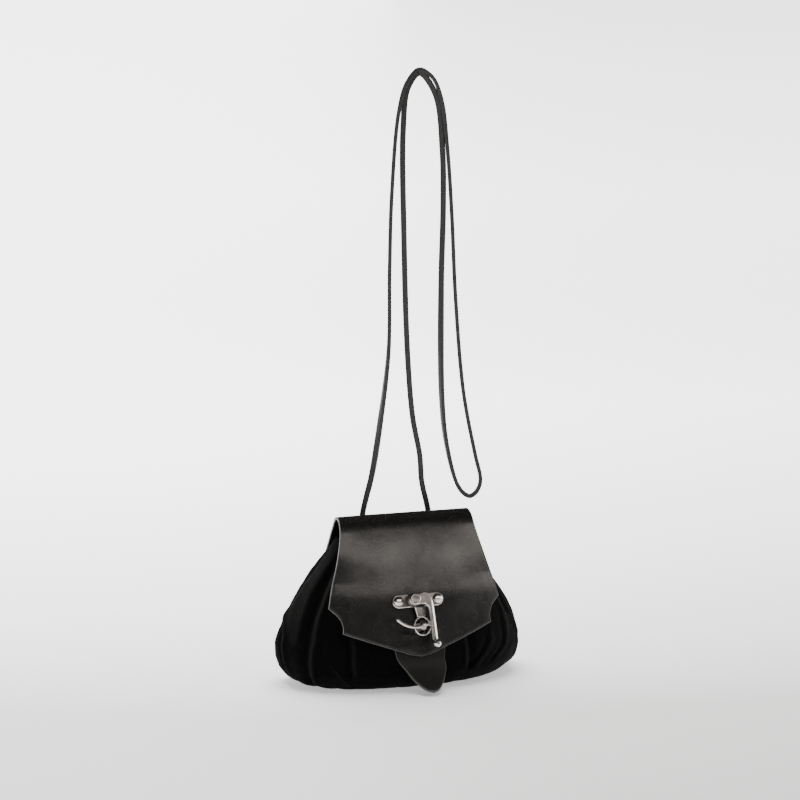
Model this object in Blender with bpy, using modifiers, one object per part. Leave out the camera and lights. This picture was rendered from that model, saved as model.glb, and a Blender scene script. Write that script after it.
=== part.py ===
# Belt bag: a pleated suede pouch under a stiff leather flap with a swinging lever, on a long lace strap.
# Metres, +Z up, the wearer's front of the bag towards -Y. The origin is the point that the strap hangs from.
import math

import bmesh
import bpy
from mathutils import Matrix, Vector

# Where the bag hangs below the hanging point
HANG_HEIGHT = 0.593
HANG_OFFSET_X = 0.0213
HANG_OFFSET_Y = 0.006

# Clearance between neighbours
GAP = 0.0003

# Leather flap: back panel, roll over the top and front face, one bent sheet
LEATHER = 0.0028
CREST_HEIGHT = 0.166
ROLL_RADIUS = 0.018
ROLL_SETBACK = 0.018
FACE_TILT = math.radians(20.0)
FACE_LENGTH = 0.1264
FLAP_HALF_WIDTH = 0.0885
FLAP_BOW = 0.0075
FLAT_HALF_WIDTH = 0.031
REAR_TILT = math.radians(37.0)
REAR_SLOPE_LENGTH = 0.038
REAR_BEND_RADIUS = 0.045
REAR_DROP = 0.024
REAR_CORNER = 0.012

# Suede pouch
SUEDE = 0.0018
POUCH_HALF_WIDTH = 0.1270
POUCH_FRONT = 0.0720
POUCH_BACK = 0.0340
MOUTH_DROP = 0.006
PLEAT_DEPTH = 0.0045
FRONT_FULLNESS = 2.25
BACK_FULLNESS = 2.9

# Leather tongue behind the flap's tip
TONGUE_HALF_WIDTH = 0.0265
TONGUE_TUCK = 0.0042
TONGUE_REACH = 0.0260
TONGUE_SWAY = 0.0036
TONGUE_TIP_HEIGHT = 0.0042

# Clasp, in the plane of the flap's face: x to the right, y up the face, z away from the leather
PLATE_RISE = 0.0546
PLATE_HALF_LENGTH = 0.0263
PLATE_HALF_HEIGHT = 0.0066
PLATE_THICKNESS = 0.0015
RIVET_SPAN = 0.0202
RIVET_RADIUS = 0.0042
RIVET_DOME = 0.0030
SHANK_RADIUS = 0.0014
PIVOT_X = -0.0063
BARREL_RADIUS = 0.0061
BARREL_HEIGHT = 0.0066
AXLE_RADIUS = 0.0023
CAP_RADIUS = 0.0052
CAP_THICKNESS = 0.0022
LINK_TOP_HALF_WIDTH = 0.0054
LINK_LOW_HALF_WIDTH = 0.0036
LINK_THICKNESS = 0.0026
RING_RADIUS = 0.0086
RING_WIRE = 0.00095
RING_RISE = 0.0034

# Lever: bracket, bar, stub, arc pin and ball
LEVER_THICKNESS = 0.0030
HUB_RADIUS = 0.0056
SHOULDER_TOP = 0.0062
BRACKET_LOW = 0.0049
CHAMFER = 0.0040
BAR_WIDTH = 0.0054
BAR_OFFSET = 0.0162
BAR_LENGTH = 0.0407
BALL_RADIUS = 0.00405
BALL_DROP = 0.0446
BALL_SHIFT = 0.0009
BALL_RISE = 0.0018
NECK_RADIUS = 0.0015
STUB_LENGTH = 0.0030
STUB_HEIGHT = 0.0057
STUB_THICKNESS = 0.0040
PIN_RADIUS = 0.0016
PIN_ARC = 0.0271
PIN_TIP_ANGLE = math.radians(-47.5)

# Stud on the tongue
STUD_FLANGE_RADIUS = 0.0045
STUD_FLANGE = 0.0010
STUD_NECK_RADIUS = 0.0021
BEAD_RADIUS = 0.0036
BEAD_LENGTHEN = 1.25
STUD_HOLE_RADIUS = 0.0064

# Lace strap
STRAP_DIAMETER = 0.0040
STRAP_HOLE_SPAN = 0.0352
STRAP_HOLE_DROP = 0.0060
KNOT_RADIUS = 0.0042
STRAP_STEP = 0.022

# Faces around and along
POUCH_COLUMNS = 72
FLAP_COLUMNS = 16
TONGUE_COLUMNS = 8
SIDES = 24
PIN_STEPS = 18

# Half-width of the flap, from the roll's front edge down to the tip:
# (share of the face's length, share of half-width)
FLAP_OUTLINE = (
    (0.000, 0.790), (0.060, 0.806), (0.187, 0.845), (0.310, 0.893), (0.422, 0.940), (0.520, 0.976),
    (0.588, 1.000), (0.604, 0.993), (0.626, 0.950), (0.650, 0.912), (0.684, 0.882), (0.728, 0.866),
    (0.764, 0.864), (0.792, 0.870), (0.836, 0.700), (0.890, 0.490), (0.950, 0.250), (0.984, 0.120),
    (1.000, 0.045),
)
CREST_SHARE = 0.766
REAR_SHARE = 0.760

# Pouch sections, upwards: (share of height, share of half-width, share of front, share of back)
POUCH_SECTIONS = (
    (0.000, 0.790, 0.800, 0.720), (0.018, 0.850, 0.880, 0.830), (0.056, 0.905, 0.950, 0.920),
    (0.110, 0.955, 0.990, 0.980), (0.190, 0.988, 1.000, 1.000), (0.280, 0.992, 0.995, 0.990),
    (0.370, 0.962, 0.970, 0.960), (0.460, 0.915, 0.930, 0.920), (0.550, 0.856, 0.880, 0.880),
    (0.640, 0.790, 0.820, 0.820), (0.730, 0.716, 0.760, 0.760), (0.820, 0.640, 0.690, 0.700),
    (0.910, 0.566, 0.620, 0.640), (1.000, 0.500, 0.560, 0.600),
)

# Grooves between the suede's pleats, turns counted from +X by the back:
# (turn at the top, turn at the bottom, height share at the top, at the bottom,
# half-width as a share of a turn, depth as a share of PLEAT_DEPTH)
PLEATS = (
    (0.500, 0.488, 0.950, 0.080, 0.022, 0.80), (0.575, 0.560, 0.960, 0.100, 0.024, 1.00),
    (0.655, 0.650, 0.700, 0.030, 0.022, 1.00), (0.622, 0.600, 0.560, 0.060, 0.018, 0.55),
    (0.822, 0.828, 0.480, 0.060, 0.022, 0.80), (0.880, 0.855, 0.560, 0.080, 0.024, 1.00),
    (0.935, 0.930, 0.900, 0.120, 0.022, 0.70), (0.000, 0.010, 0.900, 0.100, 0.022, 0.80),
    (0.090, 0.080, 0.900, 0.080, 0.024, 0.80), (0.180, 0.190, 0.600, 0.060, 0.026, 0.60),
    (0.310, 0.300, 0.620, 0.060, 0.026, 0.60), (0.410, 0.420, 0.900, 0.080, 0.024, 0.80),
)

# Half-width of the tongue along its length: (share of length, share of half-width)
TONGUE_OUTLINE = (
    (0.00, 0.78), (0.03, 0.92), (0.10, 0.98), (0.30, 1.00), (0.47, 0.98), (0.60, 0.90), (0.74, 0.77),
    (0.86, 0.58), (0.94, 0.38), (0.98, 0.22), (1.00, 0.07),
)

# The lever's shoulder, up the bar's outer edge and over to the hub:
# (share of the bar's right edge, share of its top)
LEVER_SHOULDER = (
    (0.988, -1.50), (0.955, -0.55), (0.915, 0.14), (0.876, 0.56), (0.800, 0.82),
    (0.707, 0.93), (0.590, 0.99), (0.475, 1.00), (0.380, 0.93), (0.280, 0.79),
)

# The strap's route from the hanging point, millimetres: up from the left hole, over the hanging point,
# down to the loose loop, up and over once more, and down to the right hole
STRAP_ROUTE = (
    (-56.5, 3.8, -440.7), (-56.5, 7.6, -437.8), (-55.2, 11.2, -431.0), (-52.0, 10.5, -416.0),
    (-46.0, 9.6, -392.2), (-38.5, 8.2, -345.5), (-29.4, 6.4, -268.7), (-28.9, 4.6, -190.0),
    (-27.7, 1.5, -114.7), (-21.3, -0.8, -34.9), (-13.4, -1.6, -7.4), (-0.9, -1.7, 5.6),
    (13.2, -1.7, -2.3), (22.8, -1.7, -24.6), (28.9, -1.8, -73.0), (33.1, -2.5, -134.3),
    (37.0, -4.0, -220.4), (45.0, -5.5, -311.9), (57.7, -6.0, -375.8), (63.6, -5.0, -399.6),
    (54.6, -1.0, -418.1), (41.0, 2.0, -404.1), (30.3, 3.0, -363.4), (25.3, 3.0, -317.2),
    (24.3, 2.8, -205.3), (26.0, 2.3, -128.0), (24.9, 2.0, -72.8), (17.5, 1.7, -18.9),
    (0.8, 1.7, 2.0), (-11.0, 1.7, -11.9), (-15.7, 2.2, -51.5), (-14.1, 4.4, -156.3),
    (-9.6, 6.8, -269.6), (-3.6, 8.2, -335.1), (4.3, 9.0, -374.8), (6.7, 9.8, -401.3),
    (12.4, 10.9, -424.0), (13.9, 11.2, -431.0), (13.9, 7.6, -437.8), (13.9, 3.8, -440.7),
)

# Heights that follow from the sizes above
ROLL_CENTRE = Vector((-ROLL_SETBACK, CREST_HEIGHT - ROLL_RADIUS))
POUCH_HEIGHT = CREST_HEIGHT - ROLL_RADIUS - MOUTH_DROP
PLATE_DROP = FACE_LENGTH - PLATE_RISE
TONGUE_LEVEL = -(LEATHER + GAP)
TONGUE_START = PLATE_DROP + TONGUE_TUCK
TONGUE_LEAVE = FACE_LENGTH + GAP
STUD_DROP = math.sqrt(PIN_ARC ** 2 - PIVOT_X ** 2)
LEVER_LOW = PLATE_THICKNESS + BARREL_HEIGHT + 3 * GAP
LEVER_MIDDLE = LEVER_LOW + LEVER_THICKNESS / 2
BAR_LEFT = BAR_OFFSET - BAR_WIDTH / 2
BAR_RIGHT = BAR_OFFSET + BAR_WIDTH / 2


def clear_scene():
    for item in list(bpy.data.objects):
        bpy.data.objects.remove(item)


def new_collection(name):
    group = bpy.data.collections.new(name)
    bpy.context.scene.collection.children.link(group)
    return group


def new_material(name, colour, roughness, metallic):
    material = bpy.data.materials.new(name)
    material.use_nodes = True
    shader = material.node_tree.nodes["Principled BSDF"]
    shader.inputs["Base Color"].default_value = (*colour, 1.0)
    shader.inputs["Roughness"].default_value = roughness
    shader.inputs["Metallic"].default_value = metallic
    return material


def make_object(name, form, collection, material=None, parent=None, smooth=True):
    """Turn a bmesh into a named object; sharp edges stay sharp on a smooth-shaded one."""
    mesh = bpy.data.meshes.new(name)
    form.normal_update()
    form.to_mesh(mesh)
    form.free()
    if smooth:
        mesh.shade_smooth()
        mesh.set_sharp_from_angle(angle=math.radians(35.0))
    item = bpy.data.objects.new(name, mesh)
    collection.objects.link(item)
    if material:
        mesh.materials.append(material)
    if parent:
        item.parent = parent
    return item


def make_empty(name, collection, location, rotation=(0.0, 0.0, 0.0), parent=None):
    item = bpy.data.objects.new(name, None)
    collection.objects.link(item)
    item.location = location
    item.rotation_euler = rotation
    item.parent = parent
    return item


def hide_cutter(item):
    item.hide_render = True
    item.display_type = "WIRE"


def add_boolean(target, other, operation="DIFFERENCE"):
    modifier = target.modifiers.new(operation.title() + " " + other.name, "BOOLEAN")
    modifier.operation = operation
    modifier.solver = "EXACT"
    modifier.object = other


def interpolate(table, position, column):
    """Read a column of a table at a position in its first column, straight between the rows."""
    rows = list(table)
    if position <= rows[0][0]:
        return rows[0][column]
    for low, high in zip(rows, rows[1:]):
        if position <= high[0]:
            share = (position - low[0]) / (high[0] - low[0])
            return low[column] + share * (high[column] - low[column])
    return rows[-1][column]


def face_point(along, level):
    """Point (y, z) on the flap's front face, a distance down from the roll and a level off its skin."""
    outward = Vector((-math.cos(FACE_TILT), math.sin(FACE_TILT)))
    down = Vector((-math.sin(FACE_TILT), -math.cos(FACE_TILT)))
    return ROLL_CENTRE + outward * (ROLL_RADIUS + level) + down * along


def rear_point(along, level):
    """Point (y, z) on the flap's back panel, a distance down from the roll along slope, bend and drop."""
    outward = Vector((math.cos(REAR_TILT), math.sin(REAR_TILT)))
    down = Vector((math.sin(REAR_TILT), -math.cos(REAR_TILT)))
    start = ROLL_CENTRE + outward * ROLL_RADIUS
    if along <= REAR_SLOPE_LENGTH:
        return start + down * along + outward * level
    bend_start = start + down * REAR_SLOPE_LENGTH
    bend_centre = bend_start - outward * REAR_BEND_RADIUS
    turn = min((along - REAR_SLOPE_LENGTH) / REAR_BEND_RADIUS, REAR_TILT)
    angle = REAR_TILT - turn
    direction = Vector((math.cos(angle), math.sin(angle)))
    point = bend_centre + direction * (REAR_BEND_RADIUS + level)
    rest = along - REAR_SLOPE_LENGTH - REAR_TILT * REAR_BEND_RADIUS
    if rest > 0.0:
        point += Vector((0.0, -rest))
    return point


REAR_LENGTH = REAR_SLOPE_LENGTH + REAR_TILT * REAR_BEND_RADIUS + REAR_DROP
ROLL_ANGLE = math.pi - FACE_TILT - REAR_TILT
ROLL_LENGTH = ROLL_ANGLE * ROLL_RADIUS


def skin_point(distance):
    """Point (y, z) on the flap's outer skin, a distance from the back panel's lower edge."""
    if distance <= REAR_LENGTH:
        return rear_point(REAR_LENGTH - distance, 0.0)
    if distance <= REAR_LENGTH + ROLL_LENGTH:
        angle = REAR_TILT + (distance - REAR_LENGTH) / ROLL_RADIUS
        return ROLL_CENTRE + Vector((math.cos(angle), math.sin(angle))) * ROLL_RADIUS
    return face_point(distance - REAR_LENGTH - ROLL_LENGTH, 0.0)


def flap_half_width(distance):
    face = distance - REAR_LENGTH - ROLL_LENGTH
    if face >= 0.0:
        return FLAP_HALF_WIDTH * interpolate(FLAP_OUTLINE, face / FACE_LENGTH, 1)
    if distance >= REAR_LENGTH:
        roll = (distance - REAR_LENGTH) / ROLL_LENGTH
        ends = ((0.0, REAR_SHARE), (0.5, CREST_SHARE), (1.0, FLAP_OUTLINE[0][1]))
        return FLAP_HALF_WIDTH * interpolate(ends, roll, 1)
    corner = max(0.0, 1.0 - distance / REAR_CORNER)
    return FLAP_HALF_WIDTH * REAR_SHARE - REAR_CORNER * (1.0 - math.sqrt(1.0 - corner ** 2))


def flap_bow(distance, x):
    """How far the flap's sides curve back round the pouch."""
    face = distance - REAR_LENGTH - ROLL_LENGTH
    if face <= 0.0 or abs(x) <= FLAT_HALF_WIDTH:
        return 0.0
    reach = (abs(x) - FLAT_HALF_WIDTH) / (FLAP_HALF_WIDTH - FLAT_HALF_WIDTH)
    return FLAP_BOW * reach ** 2 * min(1.0, face / (0.4 * FACE_LENGTH))


def flap_rows():
    """Distances of the flap's rows: corner, back panel, bend, roll and front face."""
    rows = [REAR_CORNER * share for share in (0.0, 0.12, 0.4, 1.0)]
    rows += [REAR_DROP]
    rows += [REAR_DROP + REAR_TILT * REAR_BEND_RADIUS * share for share in (0.25, 0.5, 0.75, 1.0)]
    rows += [REAR_LENGTH - REAR_SLOPE_LENGTH / 2]
    rows += [REAR_LENGTH + ROLL_LENGTH * step / 8 for step in range(9)]
    rows += [REAR_LENGTH + ROLL_LENGTH + FACE_LENGTH * row[0] for row in FLAP_OUTLINE[1:]]
    return rows


def make_sheet(rows, half_width, place, columns):
    """An open sheet: a grid primitive whose rows follow a profile and whose columns follow a half-width."""
    form = bmesh.new()
    bmesh.ops.create_grid(form, x_segments=columns, y_segments=len(rows) - 1, size=1.0)
    for vertex in form.verts:
        row = round((vertex.co.y + 1.0) / 2.0 * (len(rows) - 1))
        x = vertex.co.x * half_width(rows[row])
        vertex.co = place(rows[row], x)
    bmesh.ops.reverse_faces(form, faces=form.faces)
    return form


def solidify(item, thickness, offset):
    modifier = item.modifiers.new("Thickness", "SOLIDIFY")
    modifier.thickness = thickness
    modifier.offset = offset
    modifier.use_even_offset = True
    modifier.use_quality_normals = True


def cylinder(radius, low, high, sides=SIDES):
    form = bmesh.new()
    ends = {"radius1": radius, "radius2": radius}
    bmesh.ops.create_cone(form, cap_ends=True, segments=sides, depth=high - low, **ends)
    bmesh.ops.translate(form, verts=form.verts, vec=(0.0, 0.0, (low + high) / 2))
    return form


def turned(name, profile, collection, material, parent, location, steps=SIDES):
    """A turned piece: its profile (radius, height), top to bottom, with a Screw modifier about local Z."""
    form = bmesh.new()
    points = [form.verts.new((radius, 0.0, height)) for radius, height in profile]
    for first, second in zip(points, points[1:]):
        form.edges.new((first, second))
    item = make_object(name, form, collection, material, parent, smooth=False)
    item.location = location
    screw = item.modifiers.new("Turn", "SCREW")
    screw.steps = steps
    screw.render_steps = steps
    screw.use_merge_vertices = True
    screw.merge_threshold = 0.00005
    return item


def flap_place(distance, x):
    point = skin_point(distance)
    return Vector((x, point.x + flap_bow(distance, x), point.y))


def make_flap(parts, cutters, leather, base, seat):
    form = make_sheet(flap_rows(), flap_half_width, flap_place, FLAP_COLUMNS)
    flap = make_object("flap", form, parts, leather, base)
    solidify(flap, LEATHER, -1.0)
    hole_form = cylinder(STUD_HOLE_RADIUS, -2 * LEATHER, LEATHER)
    stud_hole = make_object("stud_hole_cutter", hole_form, cutters, parent=seat)
    stud_hole.location = (0.0, -STUD_DROP, 0.0)
    add_boolean(flap, stud_hole)
    hide_cutter(stud_hole)
    for side in (-1, 1):
        hole_radius = STRAP_DIAMETER / 2 + GAP
        point = rear_point(STRAP_HOLE_DROP, 0.0)
        name = "strap_hole_cutter_" + ("left" if side < 0 else "right")
        hole = make_object(name, cylinder(hole_radius, -2 * LEATHER, 2 * LEATHER), cutters, parent=base)
        hole.location = (side * STRAP_HOLE_SPAN, point.x, point.y)
        hole.rotation_euler = (REAR_TILT - math.pi / 2, 0.0, 0.0)
        add_boolean(flap, hole)
        hide_cutter(hole)
    for side in (-1, 1):
        name = "rivet_hole_cutter_" + ("left" if side < 0 else "right")
        hole_form = cylinder(SHANK_RADIUS + GAP, -2 * LEATHER, LEATHER)
        hole = make_object(name, hole_form, cutters, parent=seat)
        hole.location = (side * RIVET_SPAN, 0.0, 0.0)
        add_boolean(flap, hole)
        hide_cutter(hole)
    return flap


def tongue_free():
    """The tongue's free part: the point where it leaves the flap, its tip and its length."""
    leave = face_point(TONGUE_LEAVE, TONGUE_LEVEL)
    tip = Vector((-(POUCH_FRONT + TONGUE_REACH), TONGUE_TIP_HEIGHT))
    return leave, tip, (tip - leave).length


def tongue_bend(share):
    """How far along its free part the tongue is at a share of its length; below 0 behind the flap."""
    straight = TONGUE_LEAVE - TONGUE_START
    free = tongue_free()[2]
    return (share * (straight + free) - straight) / free


def tongue_curve(share):
    """Point (y, z) on the tongue's front: along the flap's face, then kicked out by the pouch to the tip."""
    leave, tip, free = tongue_free()
    bend = tongue_bend(share)
    if bend <= 0.0:
        return face_point(TONGUE_LEAVE + bend * free, TONGUE_LEVEL)
    down = Vector((-math.sin(FACE_TILT), -math.cos(FACE_TILT)))
    handle = leave + down * free * 0.28
    return leave * (1 - bend) ** 2 + handle * 2 * bend * (1 - bend) + tip * bend ** 2


def tongue_sway(share):
    """How far the tongue's free part leans to the right."""
    bend = max(0.0, tongue_bend(share))
    return TONGUE_SWAY * (1.0 - (1.0 - bend) ** 4)


def tongue_share_at(height):
    """Share of the tongue's length at which its front is at a height."""
    low, high = 0.0, 1.0
    for _ in range(30):
        middle = (low + high) / 2
        if tongue_curve(middle).y > height:
            low = middle
        else:
            high = middle
    return low


def make_tongue(parts, leather, base):
    rows = sorted({row[0] for row in TONGUE_OUTLINE} | {0.2, 0.4, 0.53, 0.67, 0.8})

    def half_width(share):
        return TONGUE_HALF_WIDTH * interpolate(TONGUE_OUTLINE, share, 1)

    def place(share, x):
        point = tongue_curve(share)
        return Vector((x + tongue_sway(share), point.x, point.y))

    tongue = make_object("tongue", make_sheet(rows, half_width, place, TONGUE_COLUMNS), parts, leather, base)
    solidify(tongue, LEATHER, -1.0)
    return tongue


def front_limit(height):
    """The furthest forward that the suede may lie at a height, behind the tongue and the flap."""
    behind = (LEATHER + GAP) / math.cos(FACE_TILT)
    roll_height = ROLL_CENTRE.y + ROLL_RADIUS * math.sin(FACE_TILT)
    if height >= roll_height:
        return ROLL_CENTRE.x - ROLL_RADIUS + 2 * behind
    start = tongue_curve(0.0)
    if height >= start.y:
        slope = math.tan(FACE_TILT)
        return start.x + (height - start.y) * slope + behind
    return tongue_curve(tongue_share_at(height)).x + behind


def back_limit(height):
    """The furthest back that the suede may lie at a height, inside the back panel."""
    low, high = 0.0, REAR_LENGTH
    level = -(LEATHER + GAP)
    if height <= rear_point(high, level).y:
        return POUCH_BACK
    for _ in range(30):
        middle = (low + high) / 2
        if rear_point(middle, level).y > height:
            low = middle
        else:
            high = middle
    return rear_point(low, level).x


def groove_depth(share, turn):
    """Depth of the pleats' grooves at a height share and a turn."""
    depth = 0.0
    for top_turn, low_turn, top, low, half_width, deep in PLEATS:
        if low < share < top:
            up = (share - low) / (top - low)
            middle = low_turn + (top_turn - low_turn) * up
            away = abs((turn - middle + 0.5) % 1.0 - 0.5) / half_width
            if away < 1.0:
                fade = min(1.0, 4.0 * up, 4.0 * (1.0 - up))
                depth += PLEAT_DEPTH * deep * fade * (1.0 - away ** 2) ** 2
    return depth


def pouch_section(row, turn):
    """Point of the pouch's outer skin: row of the section table, turn from 0 at +X round by the back."""
    share, width_share, front_share, back_share = row
    height = share * POUCH_HEIGHT
    angle = turn * 2 * math.pi
    across, along = math.cos(angle), math.sin(angle)
    back = min(POUCH_BACK * back_share, back_limit(height))
    front = min(POUCH_FRONT * front_share, -front_limit(height))
    depth = back if along >= 0.0 else front
    fullness = BACK_FULLNESS if along >= 0.0 else FRONT_FULLNESS
    x = POUCH_HALF_WIDTH * width_share * math.copysign(abs(across) ** (2 / fullness), across)
    y = depth * math.copysign(abs(along) ** (2 / fullness), along)
    inward = -Vector((x / POUCH_HALF_WIDTH ** 2, y / depth ** 2, 0.0)).normalized()
    return Vector((x, y, height)) + inward * groove_depth(share, turn)


def make_pouch(parts, suede, base):
    form = bmesh.new()
    rings = []
    for row in POUCH_SECTIONS:
        ring = [pouch_section(row, step / POUCH_COLUMNS) for step in range(POUCH_COLUMNS)]
        rings.append([form.verts.new(point) for point in ring])
    for low, high in zip(rings, rings[1:]):
        for step in range(POUCH_COLUMNS):
            after = (step + 1) % POUCH_COLUMNS
            form.faces.new((low[step], low[after], high[after], high[step]))
    inner = [form.verts.new((corner.co.x * 0.5, corner.co.y * 0.5, 0.0)) for corner in rings[0]]
    middle = form.verts.new((0.0, 0.0, 0.0))
    for step in range(POUCH_COLUMNS):
        after = (step + 1) % POUCH_COLUMNS
        form.faces.new((inner[step], inner[after], rings[0][after], rings[0][step]))
        form.faces.new((middle, inner[after], inner[step]))
    pouch = make_object("pouch", form, parts, suede, base)
    solidify(pouch, SUEDE, -1.0)
    return pouch


def flat_outline(name, loops, low, high, collection, parent, material=None):
    """A plate: closed outlines (x, y) as a filled 2D curve, extruded between two levels and made a mesh."""
    data = bpy.data.curves.new(name, "CURVE")
    data.dimensions = "2D"
    data.fill_mode = "BOTH"
    data.extrude = (high - low) / 2
    for loop in loops:
        spline = data.splines.new("POLY")
        spline.points.add(len(loop) - 1)
        spline.use_cyclic_u = True
        for point, (x, y) in zip(spline.points, loop):
            point.co = (x, y, 0.0, 1.0)
    item = bpy.data.objects.new(name, data)
    collection.objects.link(item)
    item.location = (0.0, 0.0, (low + high) / 2)
    return curve_to_mesh(item, collection, parent, material)


def curve_to_mesh(item, collection, parent, material=None):
    """Replace a curve object by its welded mesh, which can be cut and joined."""
    bpy.context.view_layer.update()
    evaluated = item.evaluated_get(bpy.context.evaluated_depsgraph_get())
    mesh = bpy.data.meshes.new_from_object(evaluated)
    name = item.name
    place = item.matrix_world.copy()
    bpy.data.objects.remove(item)
    form = bmesh.new()
    form.from_mesh(mesh)
    bmesh.ops.remove_doubles(form, verts=form.verts, dist=0.000002)
    bmesh.ops.transform(form, verts=form.verts, matrix=place)
    bmesh.ops.recalc_face_normals(form, faces=form.faces)
    result = make_object(name, form, collection, material, parent, smooth=False)
    result.data.name = name
    return result


def tube(name, points, radius, resolution, collection, parent, cyclic=False, material=None):
    """A round wire through given points, as a curve with filled caps made a mesh."""
    data = bpy.data.curves.new(name, "CURVE")
    data.dimensions = "3D"
    data.bevel_depth = radius
    data.bevel_resolution = resolution
    data.use_fill_caps = True
    spline = data.splines.new("POLY")
    spline.points.add(len(points) - 1)
    spline.use_cyclic_u = cyclic
    for point, place in zip(spline.points, points):
        point.co = (*place, 1.0)
    item = bpy.data.objects.new(name, data)
    collection.objects.link(item)
    return curve_to_mesh(item, collection, parent, material)


def arc(centre, radius, start, end, steps):
    """Points (x, y) on an arc, angles in degrees from +X."""
    angles = [math.radians(start + (end - start) * step / steps) for step in range(steps + 1)]
    return [(centre[0] + radius * math.cos(a), centre[1] + radius * math.sin(a)) for a in angles]


def pin_arc(start, end, steps):
    """Points on the pin's arc about the pivot, angles from straight down, positive towards the bar."""
    points = []
    for step in range(steps + 1):
        angle = start + (end - start) * step / steps
        points.append((PIN_ARC * math.sin(angle), -PIN_ARC * math.cos(angle), 0.0))
    return points


def make_clasp_plate(parts, cutters, metal, seat):
    """Backplate with round ends, the tapered link under it and the ring round the stud, in one casting."""
    straight = PLATE_HALF_LENGTH - PLATE_HALF_HEIGHT
    ends = arc((straight, 0.0), PLATE_HALF_HEIGHT, -90, 90, 12)
    ends += arc((-straight, 0.0), PLATE_HALF_HEIGHT, 90, 270, 12)
    low = GAP
    high = GAP + PLATE_THICKNESS
    plate = flat_outline("clasp_plate", [ends], low, high, parts, seat, metal)
    link_low = -STUD_DROP + RING_RADIUS
    link = [(-LINK_TOP_HALF_WIDTH, -0.5 * PLATE_HALF_HEIGHT), (-LINK_LOW_HALF_WIDTH, link_low)]
    link += [(LINK_LOW_HALF_WIDTH, link_low), (LINK_TOP_HALF_WIDTH, -0.5 * PLATE_HALF_HEIGHT)]
    wedge = flat_outline("clasp_link", [link], 0.5 * high, high + LINK_THICKNESS, cutters, seat)
    circle = [(x, y - STUD_DROP, RING_RISE) for x, y in arc((0.0, 0.0), RING_RADIUS, 0, 345, 23)]
    ring = tube("clasp_ring", circle, RING_WIRE, 1, cutters, seat, cyclic=True)
    for piece in (wedge, ring):
        add_boolean(plate, piece, "UNION")
        hide_cutter(piece)
    recess_form = cylinder(BARREL_RADIUS + GAP, high + GAP / 2, LEVER_LOW)
    recess = make_object("pivot_recess_cutter", recess_form, cutters, parent=seat)
    recess.location = (PIVOT_X, 0.0, 0.0)
    add_boolean(plate, recess)
    hide_cutter(recess)
    for side in (-1, 1):
        name = "plate_hole_cutter_" + ("left" if side < 0 else "right")
        hole_form = cylinder(SHANK_RADIUS + GAP, -LEATHER, LEATHER + PLATE_THICKNESS)
        hole = make_object(name, hole_form, cutters, parent=seat)
        hole.location = (side * RIVET_SPAN, 0.0, 0.0)
        add_boolean(plate, hole)
        hide_cutter(hole)
    return plate


def make_rivets(parts, metal, seat):
    """Domed rivets through the backplate and into the leather."""
    top = 2 * GAP + PLATE_THICKNESS
    for side, name in ((-1, "rivet_left"), (1, "rivet_right")):
        dome = [(RIVET_RADIUS * math.sin(math.radians(a)), top + RIVET_DOME * math.cos(math.radians(a)))
                for a in (0, 18, 36, 54, 72, 90)]
        profile = dome + [(SHANK_RADIUS, top), (SHANK_RADIUS, GAP - LEATHER), (0.0, GAP - LEATHER)]
        turned(name, profile, parts, metal, seat, (side * RIVET_SPAN, 0.0, 0.0), 20)


def make_pivot(parts, metal, seat):
    """Pivot post: barrel, axle through the lever's hub and the flat cap over it."""
    low = 2 * GAP + PLATE_THICKNESS
    barrel = low + BARREL_HEIGHT
    cap = LEVER_LOW + LEVER_THICKNESS + GAP
    top = cap + CAP_THICKNESS
    bevel = 0.25 * CAP_THICKNESS
    profile = [(0.0, top), (CAP_RADIUS - bevel, top), (CAP_RADIUS, top - bevel), (CAP_RADIUS, cap)]
    profile += [(AXLE_RADIUS, cap), (AXLE_RADIUS, barrel), (BARREL_RADIUS - bevel, barrel)]
    profile += [(BARREL_RADIUS, barrel - bevel), (BARREL_RADIUS, low), (0.0, low)]
    return turned("pivot_post", profile, parts, metal, seat, (PIVOT_X, 0.0, 0.0))


def lever_outline():
    """The lever's bracket and bar about the pivot."""
    outline = arc((0.0, 0.0), HUB_RADIUS, 115, 245, 12)
    outline += [(BAR_LEFT - CHAMFER, -BRACKET_LOW), (BAR_LEFT, -BRACKET_LOW - CHAMFER)]
    outline += [(BAR_LEFT, -BAR_LENGTH), (BAR_RIGHT, -BAR_LENGTH)]
    outline += [(BAR_RIGHT * across, SHOULDER_TOP * up) for across, up in LEVER_SHOULDER]
    return outline


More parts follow.
